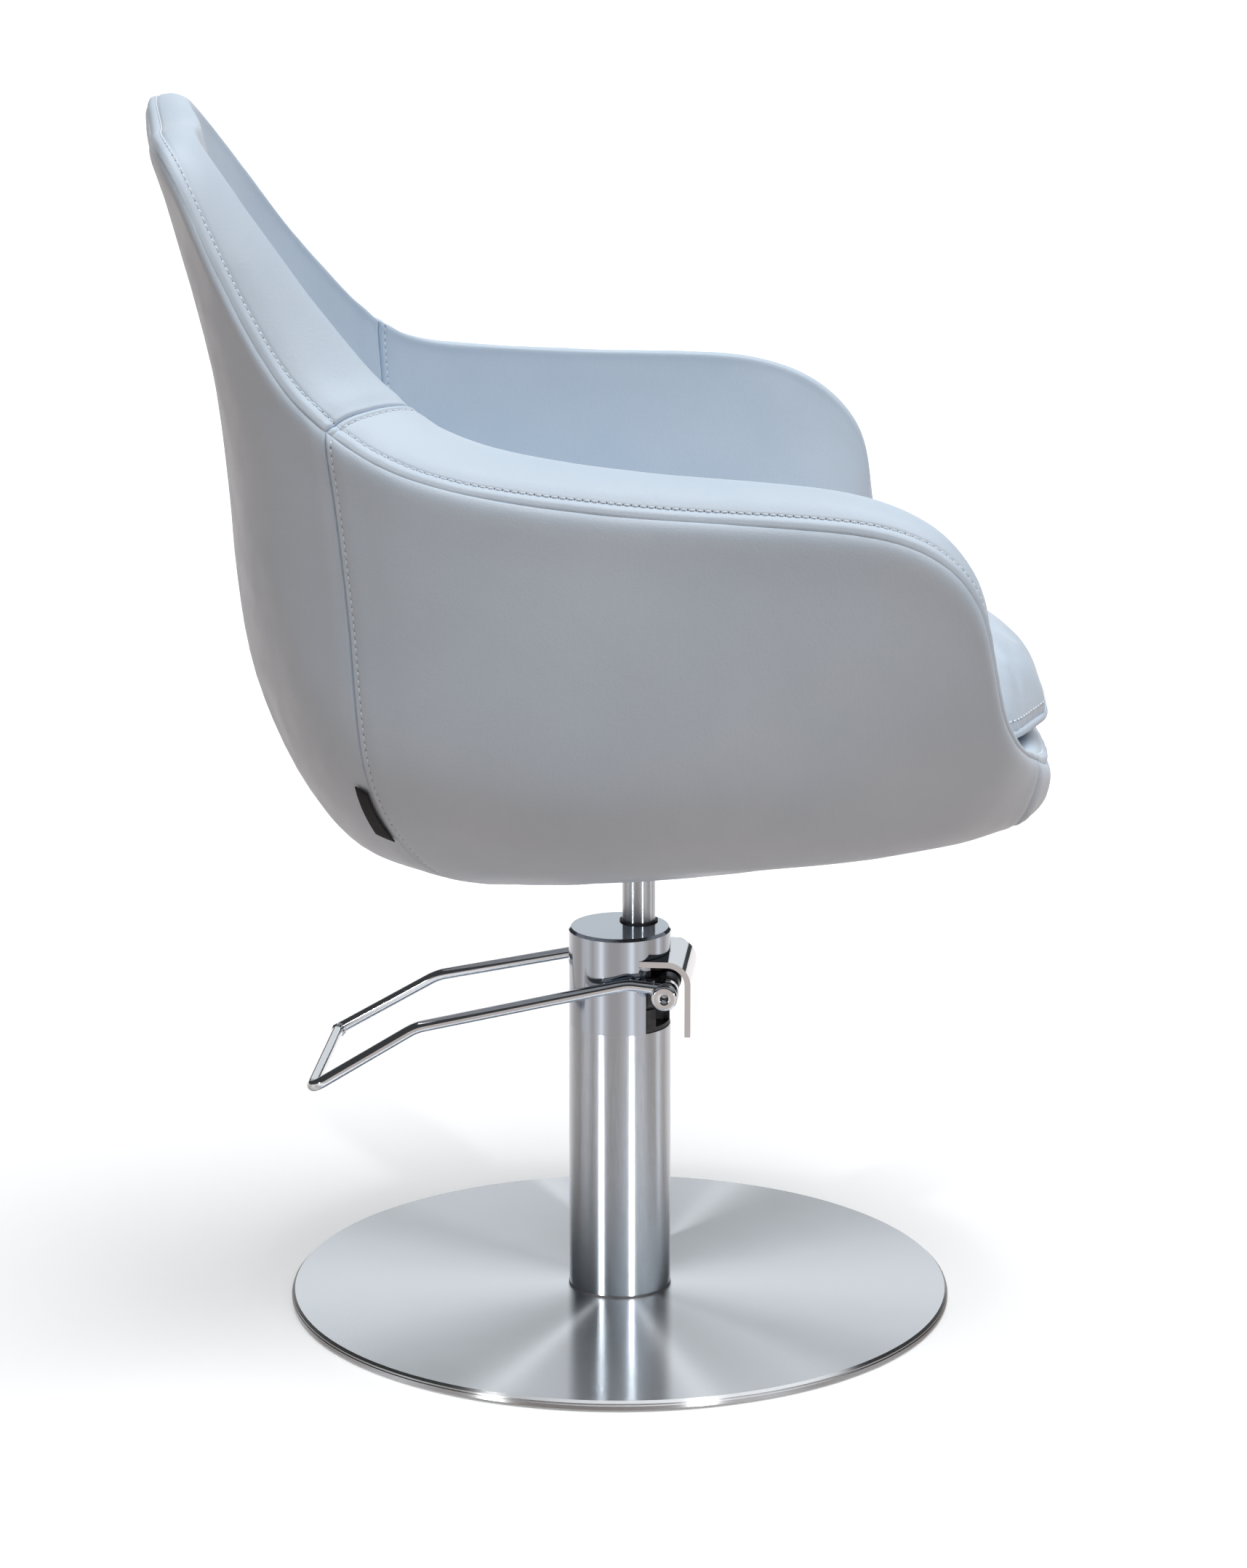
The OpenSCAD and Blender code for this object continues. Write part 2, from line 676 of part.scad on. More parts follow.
// closed solid through rings of the shell's stations, lowest ring first
module ring_stack(rings) {
    n = loop_n;
    pts = [for (r = rings) each r];
    top = len(rings) - 1;
    faces = concat(
        [[for (i = [0:n - 1]) i]],
        [for (k = [0:top - 1], i = [0:n - 1]) let (d = (i + 1) % n) [k * n + i, (k + 1) * n + d, k * n + d]],
        [for (k = [0:top - 1], i = [0:n - 1]) let (d = (i + 1) % n) [k * n + i, (k + 1) * n + i, (k + 1) * n + d]],
        [[for (i = [n - 1:-1:0]) top * n + i]]);
    polyhedron(points = pts, faces = faces, convexity = 4);
}

function shell_ring(j) = [for (i = [0:loop_n - 1]) place(outer_half(half_st(i), j), i)];
function plan_ring(plan, z) = [for (i = [0:loop_n - 1]) place(plan_pt(seam_pts[half_st(i)], plan, z), i)];
function grown(plan, d) = [for (v = plan) v + d];

module tub_base() {
    color("#c5d3df") difference() {
        ring_stack([shell_ring(6), shell_ring(5), shell_ring(4)]);
        ring_stack([plan_ring(grown(board_plan, slack), board_top - board_t),
            plan_ring(grown(board_plan, slack), board_top + through)]);
        at_ram() disc(300, board_top - 300, cavity_r);
    }
}

module seat_board() {
    color("#a98458") difference() {
        ring_stack([plan_ring(board_plan, board_top - board_t), plan_ring(board_plan, board_top)]);
        at_ram() for (x = [-mount_bolt_off, mount_bolt_off], y = [-mount_bolt_off, mount_bolt_off])
            translate([x, y, 0]) {
                cylinder(h = 500, r = 5.6);
                translate([0, 0, board_top - 2]) cylinder(h = 10, r = 10.2);
            }
    }
}

module seat_deck() {
    color("#dcd7c9") ring_stack([plan_ring(grown(core_plan, -1), board_top),
        plan_ring(grown(inner_plan, -3), deck_top - 1)]);
}

module underside_cover() {
    color("#232427") at_ram() difference() {
        disc(underside_z, 3, cavity_r - slack);
        disc(underside_z - through, 10, 24.5);
        for (a = [0:90:270])
            rotate([0, 0, a]) translate([92, 0, underside_z - through]) cylinder(h = 10, r = 2.2);
    }
}

module underside_screws() {
    color("#8d9197") at_ram() for (a = [0:90:270])
        rotate([0, 0, a]) translate([92, 0, underside_z - 2]) {
            cylinder(h = 2, r = 4);
            cylinder(h = board_top - board_t - underside_z + 2, r = 2);
        }
}

cushion_plan = [236, 222, 357];
cushion_low = 512;

module cushion_board() {
    color("#a98458") ring_stack([plan_ring([226, 212, 290], deck_top), plan_ring([226, 212, 290], cushion_low - slack)]);
}

module seat_cushion() {
    color("#d2dfe8") ring_stack([plan_ring(grown(cushion_plan, -10), cushion_low),
        plan_ring(cushion_plan, cushion_low + 14), plan_ring(grown(cushion_plan, -7), cushion_low + 36),
        plan_ring(grown(cushion_plan, -22), cushion_top - 42),
        plan_ring(grown(cushion_plan, -44), cushion_top - 23),
        plan_ring(grown(cushion_plan, -76), cushion_top - 8), plan_ring(grown(cushion_plan, -130), cushion_top)]);
}

// plain woven tag sewn beside the right rear seam
module side_tag() {
    a = wall_pt(corner_st, 4, 0);
    b = wall_pt(corner_st, 3, 0);
    c = wall_pt(corner_st - 1, 4, 0);
    d = wall_pt(corner_st - 1, 3, 0);
    p = mix(a, b, 0.55);
    q = mix(c, d, 0.55);
    m = mix(a, b, 0.08);
    n = mix(c, d, 0.08);
    normal = unit(cross(b - a, c - a)) * 1.2;
    corners = [mix(m, n, 0.15), mix(m, n, 0.45), mix(p, q, 0.45), mix(p, q, 0.15)];
    color("#141517") hull() for (v = corners, s = [0.4, 1.2])
        translate(v + normal * s) sphere(r = 0.3, $fn = 8);
}

floor_pad();
base_plate();
base_cover();
base_bolts();
column_flange();
column_gasket();
column_tube();
pump_cylinder();
pump_body();
head_cover();
lever_shroud();
shroud_screws();
ram_wiper();
guide_bush();
pivot_bushes();
piston_head();
piston_seal();
thrust_washer();
retaining_ring();
pedal_loop();
pivot_shaft();
pivot_caps();
rocker();
rocker_key();
plunger();
plunger_seal();
plunger_spring();
ram();
ram_hub();
mount_plate();
mount_bolts();
t_nuts();
seat_board();
underside_cover();
underside_screws();
tub_base();
tub_core();
outer_back_panel();
outer_right_panel();
outer_left_panel();
front_apron();
inner_back_pad();
right_arm_pad();
left_arm_pad();
front_pad();
back_rim();
right_rim();
left_rim();
front_rim();
seat_deck();
cushion_board();
seat_cushion();
side_tag();
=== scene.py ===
import json
import math

import bpy
import numpy as np
from mathutils import Matrix, Vector
from mathutils.bvhtree import BVHTree

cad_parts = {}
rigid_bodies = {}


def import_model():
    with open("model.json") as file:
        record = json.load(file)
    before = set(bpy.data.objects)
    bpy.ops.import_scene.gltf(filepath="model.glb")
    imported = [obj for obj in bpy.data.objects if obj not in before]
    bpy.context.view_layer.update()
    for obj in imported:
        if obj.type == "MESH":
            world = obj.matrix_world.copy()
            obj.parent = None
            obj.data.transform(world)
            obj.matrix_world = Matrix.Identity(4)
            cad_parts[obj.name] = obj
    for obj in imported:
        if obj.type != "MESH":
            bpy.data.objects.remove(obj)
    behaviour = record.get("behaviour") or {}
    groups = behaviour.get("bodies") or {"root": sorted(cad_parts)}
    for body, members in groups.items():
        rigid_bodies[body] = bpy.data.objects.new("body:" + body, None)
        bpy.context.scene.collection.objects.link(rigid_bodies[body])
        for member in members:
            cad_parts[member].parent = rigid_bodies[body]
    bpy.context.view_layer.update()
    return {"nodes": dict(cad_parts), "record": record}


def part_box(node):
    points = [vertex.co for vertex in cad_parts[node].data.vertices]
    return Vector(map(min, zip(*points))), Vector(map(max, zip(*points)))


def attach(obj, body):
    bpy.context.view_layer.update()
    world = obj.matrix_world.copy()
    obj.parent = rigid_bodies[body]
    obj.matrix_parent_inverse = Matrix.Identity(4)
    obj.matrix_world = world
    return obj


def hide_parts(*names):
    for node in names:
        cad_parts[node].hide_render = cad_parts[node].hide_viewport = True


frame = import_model()
scene = bpy.context.scene
MM = 0.001

# ---------------------------------------------------------------- shell data, in millimetres
# The seat's wall is set out at stations that run from the middle of the back round the right
# side to the middle of the front; the left side mirrors them. Each has a point on the outer
# seam and one on the inner ridge of the padded edge. x is measured from the ram's axis.
RAM = np.array([14.412, -17.573])
SEAM = np.array([
    [0, 377, 994], [90, 379, 1001], [150, 375, 1001], [182, 361, 978], [203, 335, 918],
    [222, 293, 838], [245, 253, 797], [275, 199, 767], [300, 121, 750], [320, 16, 739],
    [335, -88, 733], [341, -168, 724], [341, -217, 702], [336, -246, 666], [327, -259, 617],
    [312, -270, 572], [283, -288, 540], [215, -314, 513], [120, -342, 484], [0, -354, 478]], float)
RIDGE = np.array([
    [0, 337, 1002], [74, 343, 1008], [122, 341, 1005], [150, 322, 979], [166, 287, 928],
    [182, 238, 863], [200, 184, 805], [226, 137, 783], [250, 84, 774], [270, 11, 765],
    [289, -90, 758], [297, -165, 748], [300, -222, 717], [298, -253, 669], [291, -255, 614],
    [278, -262, 566], [253, -278, 530], [198, -298, 508], [112, -320, 500], [0, -330, 499]], float)
LAST = len(SEAM) - 1
LOOP = 2 * LAST
CORNER, FRONT = 6, 17   # stations of the seams between back and side, and side and front
# half width, reach to the rear and reach to the front of the wall's level outlines
BELLY, TURN, UNDER, FLOOR = (330, 307, 348), (287, 252, 338), (220, 187, 283), (140, 117, 190)
INNER, CUSHION_PLAN = (246, 232, 318), (236, 222, 357)
SEAM_REACH = (370, 352)     # the seam's own reach, by which its points find their place on an outline
PLAN_N = 2.7                # exponent of the outlines, between an ellipse's 2 and a box
BOARD_Z, DECK_Z = 450.0, 502.0      # where the wall turns under, and where its inside ends
# the two lowest outlines: height on the middle line, and the fall for each millimetre to the rear
UNDER_Z, UNDER_FALL = 425.3, 0.075
FLOOR_Z, FLOOR_FALL = 399.6, 0.039
BELLY_DROP = 0.774          # share of the way down from the seam to the turn where the belly is
BULGE, REAR_HOLLOW = 9, 24  # how far the wall stands out above the belly, and what the rear loses
EDGE_WIDTH, EDGE_RISE = 14, 7   # size of the padded edge's roll, and its height above seam and ridge
PER_STATION, PER_LEVEL = 26, 14     # samples between two stations, and between two levels


def unit(v):
    v = np.asarray(v, float)
    return v / np.maximum(np.linalg.norm(v, axis=-1, keepdims=True), 1e-9)


def plan_pt(p, plan, z):
    """The point of a level outline that lies in the direction of p."""
    e = PLAN_N / 2
    rear = p[1] >= 0
    b = plan[1] if rear else plan[2]
    reach = SEAM_REACH[0] if rear else SEAM_REACH[1]
    a = math.atan2((abs(p[0]) / BELLY[0]) ** e, (abs(p[1]) / reach) ** e)
    return np.array([plan[0] * math.sin(a) ** (1 / e), (1 if rear else -1) * b * math.cos(a) ** (1 / e), z])


def level_pt(p, plan, height, fall):
    """The same on an outline that falls towards the rear."""
    q = plan_pt(p, plan, 0)
    return np.array([q[0], q[1], height - fall * q[1]])


def outer_levels(k):
    """The outer wall's points at station k, from the seam down to the floor of the tub."""
    s = SEAM[k]
    belly = plan_pt(s, BELLY, s[2] - BELLY_DROP * (s[2] - BOARD_Z))
    out = unit([belly[0], belly[1], 0])
    rear = max(0.0, out[1])
    bulge = (BULGE - REAR_HOLLOW * rear * rear) * min(1, (s[2] - BOARD_Z) / 200)
    mid = (s + belly) / 2 + out * bulge
    return [s, mid, belly, plan_pt(s, TURN, BOARD_Z), level_pt(s, UNDER, UNDER_Z, UNDER_FALL),
            level_pt(s, FLOOR, FLOOR_Z, FLOOR_FALL)]


def inner_levels(k):
    """The inner wall's points at station k: over the padded edge to the ridge, then down inside."""
    s, r = SEAM[k], RIDGE[k]
    foot = plan_pt(s, INNER, DECK_Z)
    mid = r * 0.45 + foot * 0.55 - unit([foot[0], foot[1], 0]) * 5
    inside = r + unit(mid - r) * EDGE_WIDTH
    outside = s + unit(outer_levels(k)[1] - s) * EDGE_WIDTH
    up = unit((s + r) / 2 - (outside + inside) / 2)
    top = [s + (r - s) * t + up * EDGE_RISE * (1 - abs(2 * t - 1) ** 2.6) for t in (0.22, 0.5, 0.78)]
    below = [r + (mid - r) * t for t in (0.06, 0.18, 0.44)]
    return [s, *top, r, *below, mid, foot]


def loop_of(levels):
    """The levels of every station right round the seat, the right side first."""
    rows = []
    for i in range(LOOP):
        k, side = (i, -1) if i <= LAST else (LOOP - i, 1)
        rows.append([[RAM[0] + side * p[0], p[1], p[2]] for p in levels(k)])
    return np.array(rows)


OUTER, INSIDE = loop_of(outer_levels), loop_of(inner_levels)


def spline(c, t):
    """Catmull-Rom through c along axis 0, at the places t, with straight ends."""
    c = np.concatenate([2 * c[:1] - c[1:2], c, 2 * c[-1:] - c[-2:-1]])
    i = np.clip(np.floor(t).astype(int), 0, len(c) - 4)
    f = (t - i).reshape((-1,) + (1,) * (c.ndim - 1))
    a, b, d, e = c[i], c[i + 1], c[i + 2], c[i + 3]
    curve = (2 * a - 5 * b + 4 * d - e) * f ** 2 + (3 * b - a - 3 * d + e) * f ** 3
    return 0.5 * (2 * b + (d - a) * f + curve)


def along(points, want):
    """Points at the given distances along a polyline."""
    s = np.concatenate([[0], np.cumsum(np.linalg.norm(np.diff(points, axis=0), axis=1))])
    return np.stack([np.interp(want, s, points[:, c]) for c in range(3)], 1)


def length_of(points):
    return float(np.linalg.norm(np.diff(points, axis=0), axis=1).sum())


def fair(control, rounds=110):
    """The closed loop of stations sampled finely and smoothed along the seat."""
    i = np.arange(-2, LOOP + 3)
    c = spline(control[i % LOOP], np.arange(LOOP * PER_STATION) / PER_STATION + 2)
    for _ in range(rounds):
        c = c * 0.5 + (np.roll(c, 1, 0) + np.roll(c, -1, 0)) * 0.25
    return c


OUTER_FAIR, INSIDE_FAIR = fair(OUTER), fair(INSIDE)


def stations(table, u):
    """The levels at the places u along the loop."""
    x = (np.asarray(u, float) * len(table) / LOOP) % len(table)
    i = np.floor(x).astype(int)
    f = (x - i)[:, None, None]
    return table[i % len(table)] * (1 - f) + table[(i + 1) % len(table)] * f


def profile(table, u, rows):
    """The wall's profile at each u: rows beside the seam, then before, at and after one bend."""
    near, before, bend, after, level = rows
    c = stations(table, u)
    t = np.linspace(0, c.shape[1] - 1, PER_LEVEL * (c.shape[1] - 1) + 1)
    lines = np.stack([spline(c[n], t) for n in range(len(c))])
    for _ in range(6):
        lines[:, 1:-1] = lines[:, 1:-1] * 0.5 + (lines[:, :-2] + lines[:, 2:]) * 0.25
    out = []
    for line in lines:
        total = length_of(line)
        at = length_of(line[:level * PER_LEVEL + 1])
        f = min(1.0, at / (near[-1] - bend[0] + 3))
        lo, hi = at + bend[0] * f, at + bend[-1]
        want = np.concatenate([near * f, near[-1] * f + (lo - near[-1] * f) * before,
                               at + np.where(bend < 0, bend * f, bend), hi + (total - hi) * after])
        out.append(along(line, want))
    return np.array(out)


# the columns of a panel beside its border
EDGE = [0, 0.5, 1.0, 1.6, 2.4, 3.4, 4.6, 5.8, 6.4, 7.0, 8.0, 9.6, 12, 15.5, 20]


def columns(total, pitch):
    """How many columns a panel of this width gets: fine beside both borders, even between them."""
    return 2 * len(EDGE) - 1 + max(4, int(round((total - 2 * EDGE[-1]) / pitch)))


def panel_grid(table, u0, u1, rows, pitch=9.0):
    """A panel's points [column, row], and the distance of each from both borders and from the seam."""
    u = np.linspace(u0, u1, int((u1 - u0) * PER_STATION) + 1)
    dense = profile(table, u, rows)
    n = columns(length_of(dense[:, 12]), pitch)
    grid = np.zeros((n, dense.shape[1], 3))
    first = np.zeros((n, dense.shape[1]))
    for r in range(dense.shape[1]):
        total = length_of(dense[:, r])
        base = np.array(EDGE) * min(1.0, total / 130)
        k = n - 2 * len(base)
        want = np.concatenate([base, base[-1] + (total - 2 * base[-1]) * np.arange(1, k + 1) / (k + 1),
                               total - base[::-1]])
        grid[:, r] = along(dense[:, r], want)
        first[:, r] = want
    last = first.max(0) - first
    steps = np.linalg.norm(np.diff(grid, axis=1), axis=2)
    down = np.concatenate([np.zeros((n, 1)), np.cumsum(steps, 1)], 1)
    return grid, first, last, down


def normals(grid, sign):
    n = np.cross(np.gradient(grid, axis=0), np.gradient(grid, axis=1))
    return unit(n) * sign


def value_noise(p, scale, seed):
    """Smooth noise from -1 to 1 at the points p (in millimetres)."""
    r = np.random.default_rng(seed)
    out = np.zeros(p.shape[:-1])
    for _ in range(7):
        k = unit(r.normal(size=3)) * (2 * math.pi / scale) * r.uniform(0.6, 1.5)
        out += np.sin(p @ k + r.uniform(0, 7)) / 7
    return out * 1.8


def bump(x, centre, width):
    """A smooth hill of height 1."""
    return np.exp(-((x - centre) / width) ** 2)


def sunk(d, depth, width):
    """The rounded fold of a sewn edge: depth at the border, nothing past width."""
    return -depth * np.clip(1 - d / width, 0, 1) ** 2


def side_seam(d, stitched):
    """Relief across a seam between two panels, d from the border; one side is stitched down."""
    h = sunk(d, 2.2, 2.6)
    if stitched:
        h = h + 0.8 * bump(d, 3.6, 1.7) - 0.75 * bump(d, 6.4, 1.0)
    return h + 1.0 * bump(d, 15, 9)


# ---------------------------------------------------------------- materials
def material(name, base, rough=0.5, metal=0.0, spec=0.5):
    m = bpy.data.materials.new(name)
    m.use_nodes = True
    nt = m.node_tree
    b = nt.nodes["Principled BSDF"]
    b.inputs["Base Color"].default_value = (*base, 1)
    b.inputs["Roughness"].default_value = rough
    b.inputs["Metallic"].default_value = metal
    b.inputs["Specular IOR Level"].default_value = spec
    return m, nt, b


def coords(nt, scale=(1, 1, 1), name="Object"):
    tc = nt.nodes.new("ShaderNodeTexCoord")
    mp = nt.nodes.new("ShaderNodeMapping")
    mp.inputs["Scale"].default_value = scale
    nt.links.new(tc.outputs[name], mp.inputs["Vector"])
    return mp.outputs["Vector"]


def noise(nt, vec, scale, detail=4, rough=0.55):
    n = nt.nodes.new("ShaderNodeTexNoise")
    n.inputs["Scale"].default_value = scale
    n.inputs["Detail"].default_value = detail
    n.inputs["Roughness"].default_value = rough
    nt.links.new(vec, n.inputs["Vector"])
    return n.outputs["Fac"]


def remap(nt, fac, lo, hi, a=0.3, b=0.7):
    r = nt.nodes.new("ShaderNodeMapRange")
    r.inputs["From Min"].default_value = a
    r.inputs["From Max"].default_value = b
    r.inputs["To Min"].default_value = lo
    r.inputs["To Max"].default_value = hi
    nt.links.new(fac, r.inputs["Value"])
    return r.outputs["Result"]


def two_tone(nt, fac, a, b, lo=0.35, hi=0.65):
    r = nt.nodes.new("ShaderNodeValToRGB")
    r.color_ramp.elements[0].position = lo
    r.color_ramp.elements[1].position = hi
    r.color_ramp.elements[0].color = (*a, 1)
    r.color_ramp.elements[1].color = (*b, 1)
    nt.links.new(fac, r.inputs["Fac"])
    return r.outputs["Color"]


def add_bump(nt, b, height, distance, strength=1.0, before=None):
    n = nt.nodes.new("ShaderNodeBump")
    n.inputs["Strength"].default_value = strength
    n.inputs["Distance"].default_value = distance
    nt.links.new(height, n.inputs["Height"])
    if before is not None:
        nt.links.new(before, n.inputs["Normal"])
    nt.links.new(n.outputs["Normal"], b.inputs["Normal"])
    return n.outputs["Normal"]


def tangent(nt, b, amount, rotation=0.25):
    t = nt.nodes.new("ShaderNodeTangent")
    t.direction_type = "RADIAL"
    t.axis = "Z"
    nt.links.new(t.outputs["Tangent"], b.inputs["Tangent"])
    b.inputs["Anisotropic"].default_value = amount
    b.inputs["Anisotropic Rotation"].default_value = rotation


def leather(name, a, c, rough):
    m, nt, b = material(name, a, rough, 0, 0.42)
    vec = coords(nt)
    nt.links.new(two_tone(nt, noise(nt, vec, 9, 3), a, c), b.inputs["Base Color"])
    nt.links.new(remap(nt, noise(nt, vec, 40, 4), rough - 0.05, rough + 0.07), b.inputs["Roughness"])
    v = nt.nodes.new("ShaderNodeTexVoronoi")
    v.inputs["Scale"].default_value = 620
    nt.links.new(vec, v.inputs["Vector"])
    grain = add_bump(nt, b, v.outputs["Distance"], 0.00016, 0.5)
    soft = add_bump(nt, b, noise(nt, vec, 260, 5), 0.00028, 0.45, grain)
    add_bump(nt, b, noise(nt, vec, 34, 3), 0.0011, 0.22, soft)
    return m


LEATHER = leather("leatherette", (0.63, 0.72, 0.82), (0.60, 0.70, 0.805), 0.44)


def fibre(name, colour, rough, scale, distance, strength):
    m, nt, b = material(name, colour, rough)
    add_bump(nt, b, noise(nt, coords(nt), scale, 2), distance, strength)
    return m


THREAD = fibre("thread", (0.80, 0.85, 0.90), 0.6, 2600, 0.0002, 0.5)
# painted shade: each needle hole is a dark disc that stands for the shade inside the hole
HOLE_SHADE = fibre("needle_hole_shade", (0.10, 0.12, 0.15), 0.9, 1800, 0.0001, 0.3)


def chrome(name, base, rough, aniso=0.0, streak=None, smudge=0.03):
    m, nt, b = material(name, base, rough, 1.0)
    vec = coords(nt)
    nt.links.new(remap(nt, noise(nt, vec, 22, 5), rough, rough + smudge), b.inputs["Roughness"])
    if streak:
        lines = noise(nt, coords(nt, streak), 60, 5, 0.7)
        darker = tuple(0.80 * x for x in base)
        nt.links.new(two_tone(nt, lines, darker, base, 0.3, 0.66), b.inputs["Base Color"])
    if aniso:
        tangent(nt, b, aniso)
    return m


CHROME = chrome("polished_chrome", (0.66, 0.685, 0.715), 0.05)
HEAD = chrome("head_chrome", (0.42, 0.465, 0.52), 0.08, 0.5, None, 0.015)
TUBE = chrome("satin_tube", (0.61, 0.66, 0.71), 0.25, 1.0, (30, 30, 0.7), 0.01)
DISC = chrome("brushed_disc", (0.72, 0.75, 0.785), 0.25, 1.0, None, 0.01)


def paint_rim_shade(m, top, rim):
    """The disc's rim has painted shade: its colour is darker where its face looks sideways."""
    nt = m.node_tree
    shade_by_facing = nt.nodes.new("ShaderNodeSeparateXYZ")
    nt.links.new(nt.nodes.new("ShaderNodeNewGeometry").outputs["Normal"], shade_by_facing.inputs["Vector"])
    colour = two_tone(nt, shade_by_facing.outputs["Z"], rim, top, 0.75, 0.95)
    nt.links.new(colour, nt.nodes["Principled BSDF"].inputs["Base Color"])


# painted shade on the disc's rim: faces that look sideways get the darker colour
paint_rim_shade(DISC, (0.72, 0.75, 0.785), (0.40, 0.41, 0.42))
STEEL = chrome("machined_steel", (0.5, 0.51, 0.53), 0.32, 0.0, (3, 3, 30), 0.1)
ZINC = chrome("zinc_steel", (0.56, 0.57, 0.58), 0.36, 0.0, None, 0.12)
BRONZE = chrome("bronze", (0.55, 0.38, 0.19), 0.34, 0.0, (4, 4, 40), 0.1)


def plain(name, a, c, rough, scale, bump_mm, spec=0.4):
    m, nt, b = material(name, a, rough, 0, spec)
    vec = coords(nt)
    nt.links.new(two_tone(nt, noise(nt, vec, scale, 5), a, c), b.inputs["Base Color"])
    add_bump(nt, b, noise(nt, vec, scale * 6, 4), bump_mm * MM, 0.6)
    return m


RUBBER = plain("rubber", (0.02, 0.02, 0.022), (0.035, 0.035, 0.036), 0.75, 120, 0.2)
SEAL = plain("seal_black", (0.012, 0.012, 0.014), (0.022, 0.022, 0.024), 0.5, 160, 0.05)
PAINT = plain("ballast_steel", (0.09, 0.09, 0.095), (0.13, 0.13, 0.135), 0.45, 60, 0.1)
CASTING = plain("pump_casting", (0.015, 0.015, 0.017), (0.035, 0.034, 0.036), 0.5, 140, 0.25)
PLASTIC = plain("black_plastic", (0.02, 0.02, 0.022), (0.03, 0.03, 0.031), 0.5, 200, 0.05)
TAG = plain("tag_cloth", (0.006, 0.006, 0.008), (0.016, 0.016, 0.018), 0.8, 900, 0.15)
CLOTH = plain("deck_cloth", (0.60, 0.59, 0.52), (0.70, 0.68, 0.60), 0.9, 700, 0.3)
CORE = plain("shell_core", (0.36, 0.26, 0.16), (0.42, 0.31, 0.2), 0.7, 50, 0.3)


def wood():
    m, nt, b = material("plywood", (0.5, 0.34, 0.18), 0.6)
    grain = noise(nt, coords(nt, (3, 40, 40)), 6, 8, 0.65)
    nt.links.new(two_tone(nt, grain, (0.36, 0.23, 0.11), (0.60, 0.43, 0.25)), b.inputs["Base Color"])
    add_bump(nt, b, grain, 0.0002, 0.5)
    return m


PLY = wood()
SLOTS = {
    "rubber": RUBBER, "ballast_steel": PAINT, "brushed_disc": DISC, "zinc_steel": ZINC,
    "satin_tube": TUBE, "polished_chrome": CHROME, "pump_casting": CASTING, "bronze": BRONZE,
    "machined_steel": STEEL, "seal_black": SEAL, "plywood": PLY, "shell_core": CORE,
    "leatherette": LEATHER, "deck_cloth": CLOTH, "black_plastic": PLASTIC, "tag_cloth": TAG}
for part in frame["record"]["subparts"]:
    node = frame["nodes"][part["node"]]
    node.data.materials.clear()
    node.data.materials.append(SLOTS[part["material_slot"]])
frame["nodes"]["head_cover"].data.materials[0] = HEAD
frame["nodes"]["ram"].data.materials[0] = TUBE


# ---------------------------------------------------------------- making pieces
def piece(name, verts, faces, mats, body, replaced=(), picks=None):
    """A smooth mesh in millimetres that rides a body; picks gives each face's material."""
    me = bpy.data.meshes.new(name)
    me.from_pydata([tuple(v) for v in np.asarray(verts) * MM], [], faces)
    for m in mats:
        me.materials.append(m)
    if picks is not None:
        me.polygons.foreach_set("material_index", picks)
    me.polygons.foreach_set("use_smooth", [True] * len(me.polygons))
    me.validate()
    me.update()
    o = bpy.data.objects.new(name, me)
    scene.collection.objects.link(o)
    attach(o, body)
    if replaced:
        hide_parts(*replaced)
    return o


def slab(front, back, flip):
    """Closed sheet between two grids [column, row]."""
    n, m = front.shape[:2]
    verts = np.concatenate([front.reshape(-1, 3), back.reshape(-1, 3)])
    size = n * m

    def at(k, i, j):
        return k * size + i * m + j

    faces = []
    for i in range(n - 1):
        for j in range(m - 1):
            faces.append((at(0, i, j), at(0, i + 1, j), at(0, i + 1, j + 1), at(0, i, j + 1)))
            faces.append((at(1, i, j), at(1, i, j + 1), at(1, i + 1, j + 1), at(1, i + 1, j)))
    for i in range(n - 1):
        faces.append((at(0, i, 0), at(1, i, 0), at(1, i + 1, 0), at(0, i + 1, 0)))
        faces.append((at(0, i, m - 1), at(0, i + 1, m - 1), at(1, i + 1, m - 1), at(1, i, m - 1)))
    for j in range(m - 1):
        faces.append((at(0, 0, j), at(0, 0, j + 1), at(1, 0, j + 1), at(1, 0, j)))
        faces.append((at(0, n - 1, j), at(1, n - 1, j), at(1, n - 1, j + 1), at(0, n - 1, j + 1)))
    if flip:
        faces = [f[::-1] for f in faces]
    return verts, faces


def wrap(rings, sides, closed=True, flip=False):
    """Faces of rings joined one after the other, closed into a loop or left open at the ends."""
    faces = []
    for a in range(rings if closed else rings - 1):
        b = (a + 1) % rings
        for k in range(sides):
            h = (k + 1) % sides
            face = (a * sides + k, a * sides + h, b * sides + h, b * sides + k)
            faces.append(face[::-1] if flip else face)
    return faces


def capped(rings, sides, base=0):
    """Faces of an open tube with flat ends, whose first vertex has the number base."""
    ends = [tuple(range(sides - 1, -1, -1)), tuple(range((rings - 1) * sides, rings * sides))]
    return [tuple(i + base for i in face) for face in wrap(rings, sides, False) + ends]


STITCH_PITCH, STITCH_LENGTH, STITCH_R, HOLE_R = 6.2, 4.4, 0.8, 0.75
THREAD_RINGS = (    # place along the stitch, radius and height of each ring of the thread
    (-0.5, 0.35, -0.35), (-0.4, 0.85, 0.05), (0, 1.0, 0.28), (0.4, 0.85, 0.05), (0.5, 0.35, -0.35))
HOLE_RINGS = ((-0.35, 0.6), (0.06, 1.0), (0.12, 0.7))
HEXAGON = [(math.cos(k * math.pi / 3), math.sin(k * math.pi / 3)) for k in range(6)]


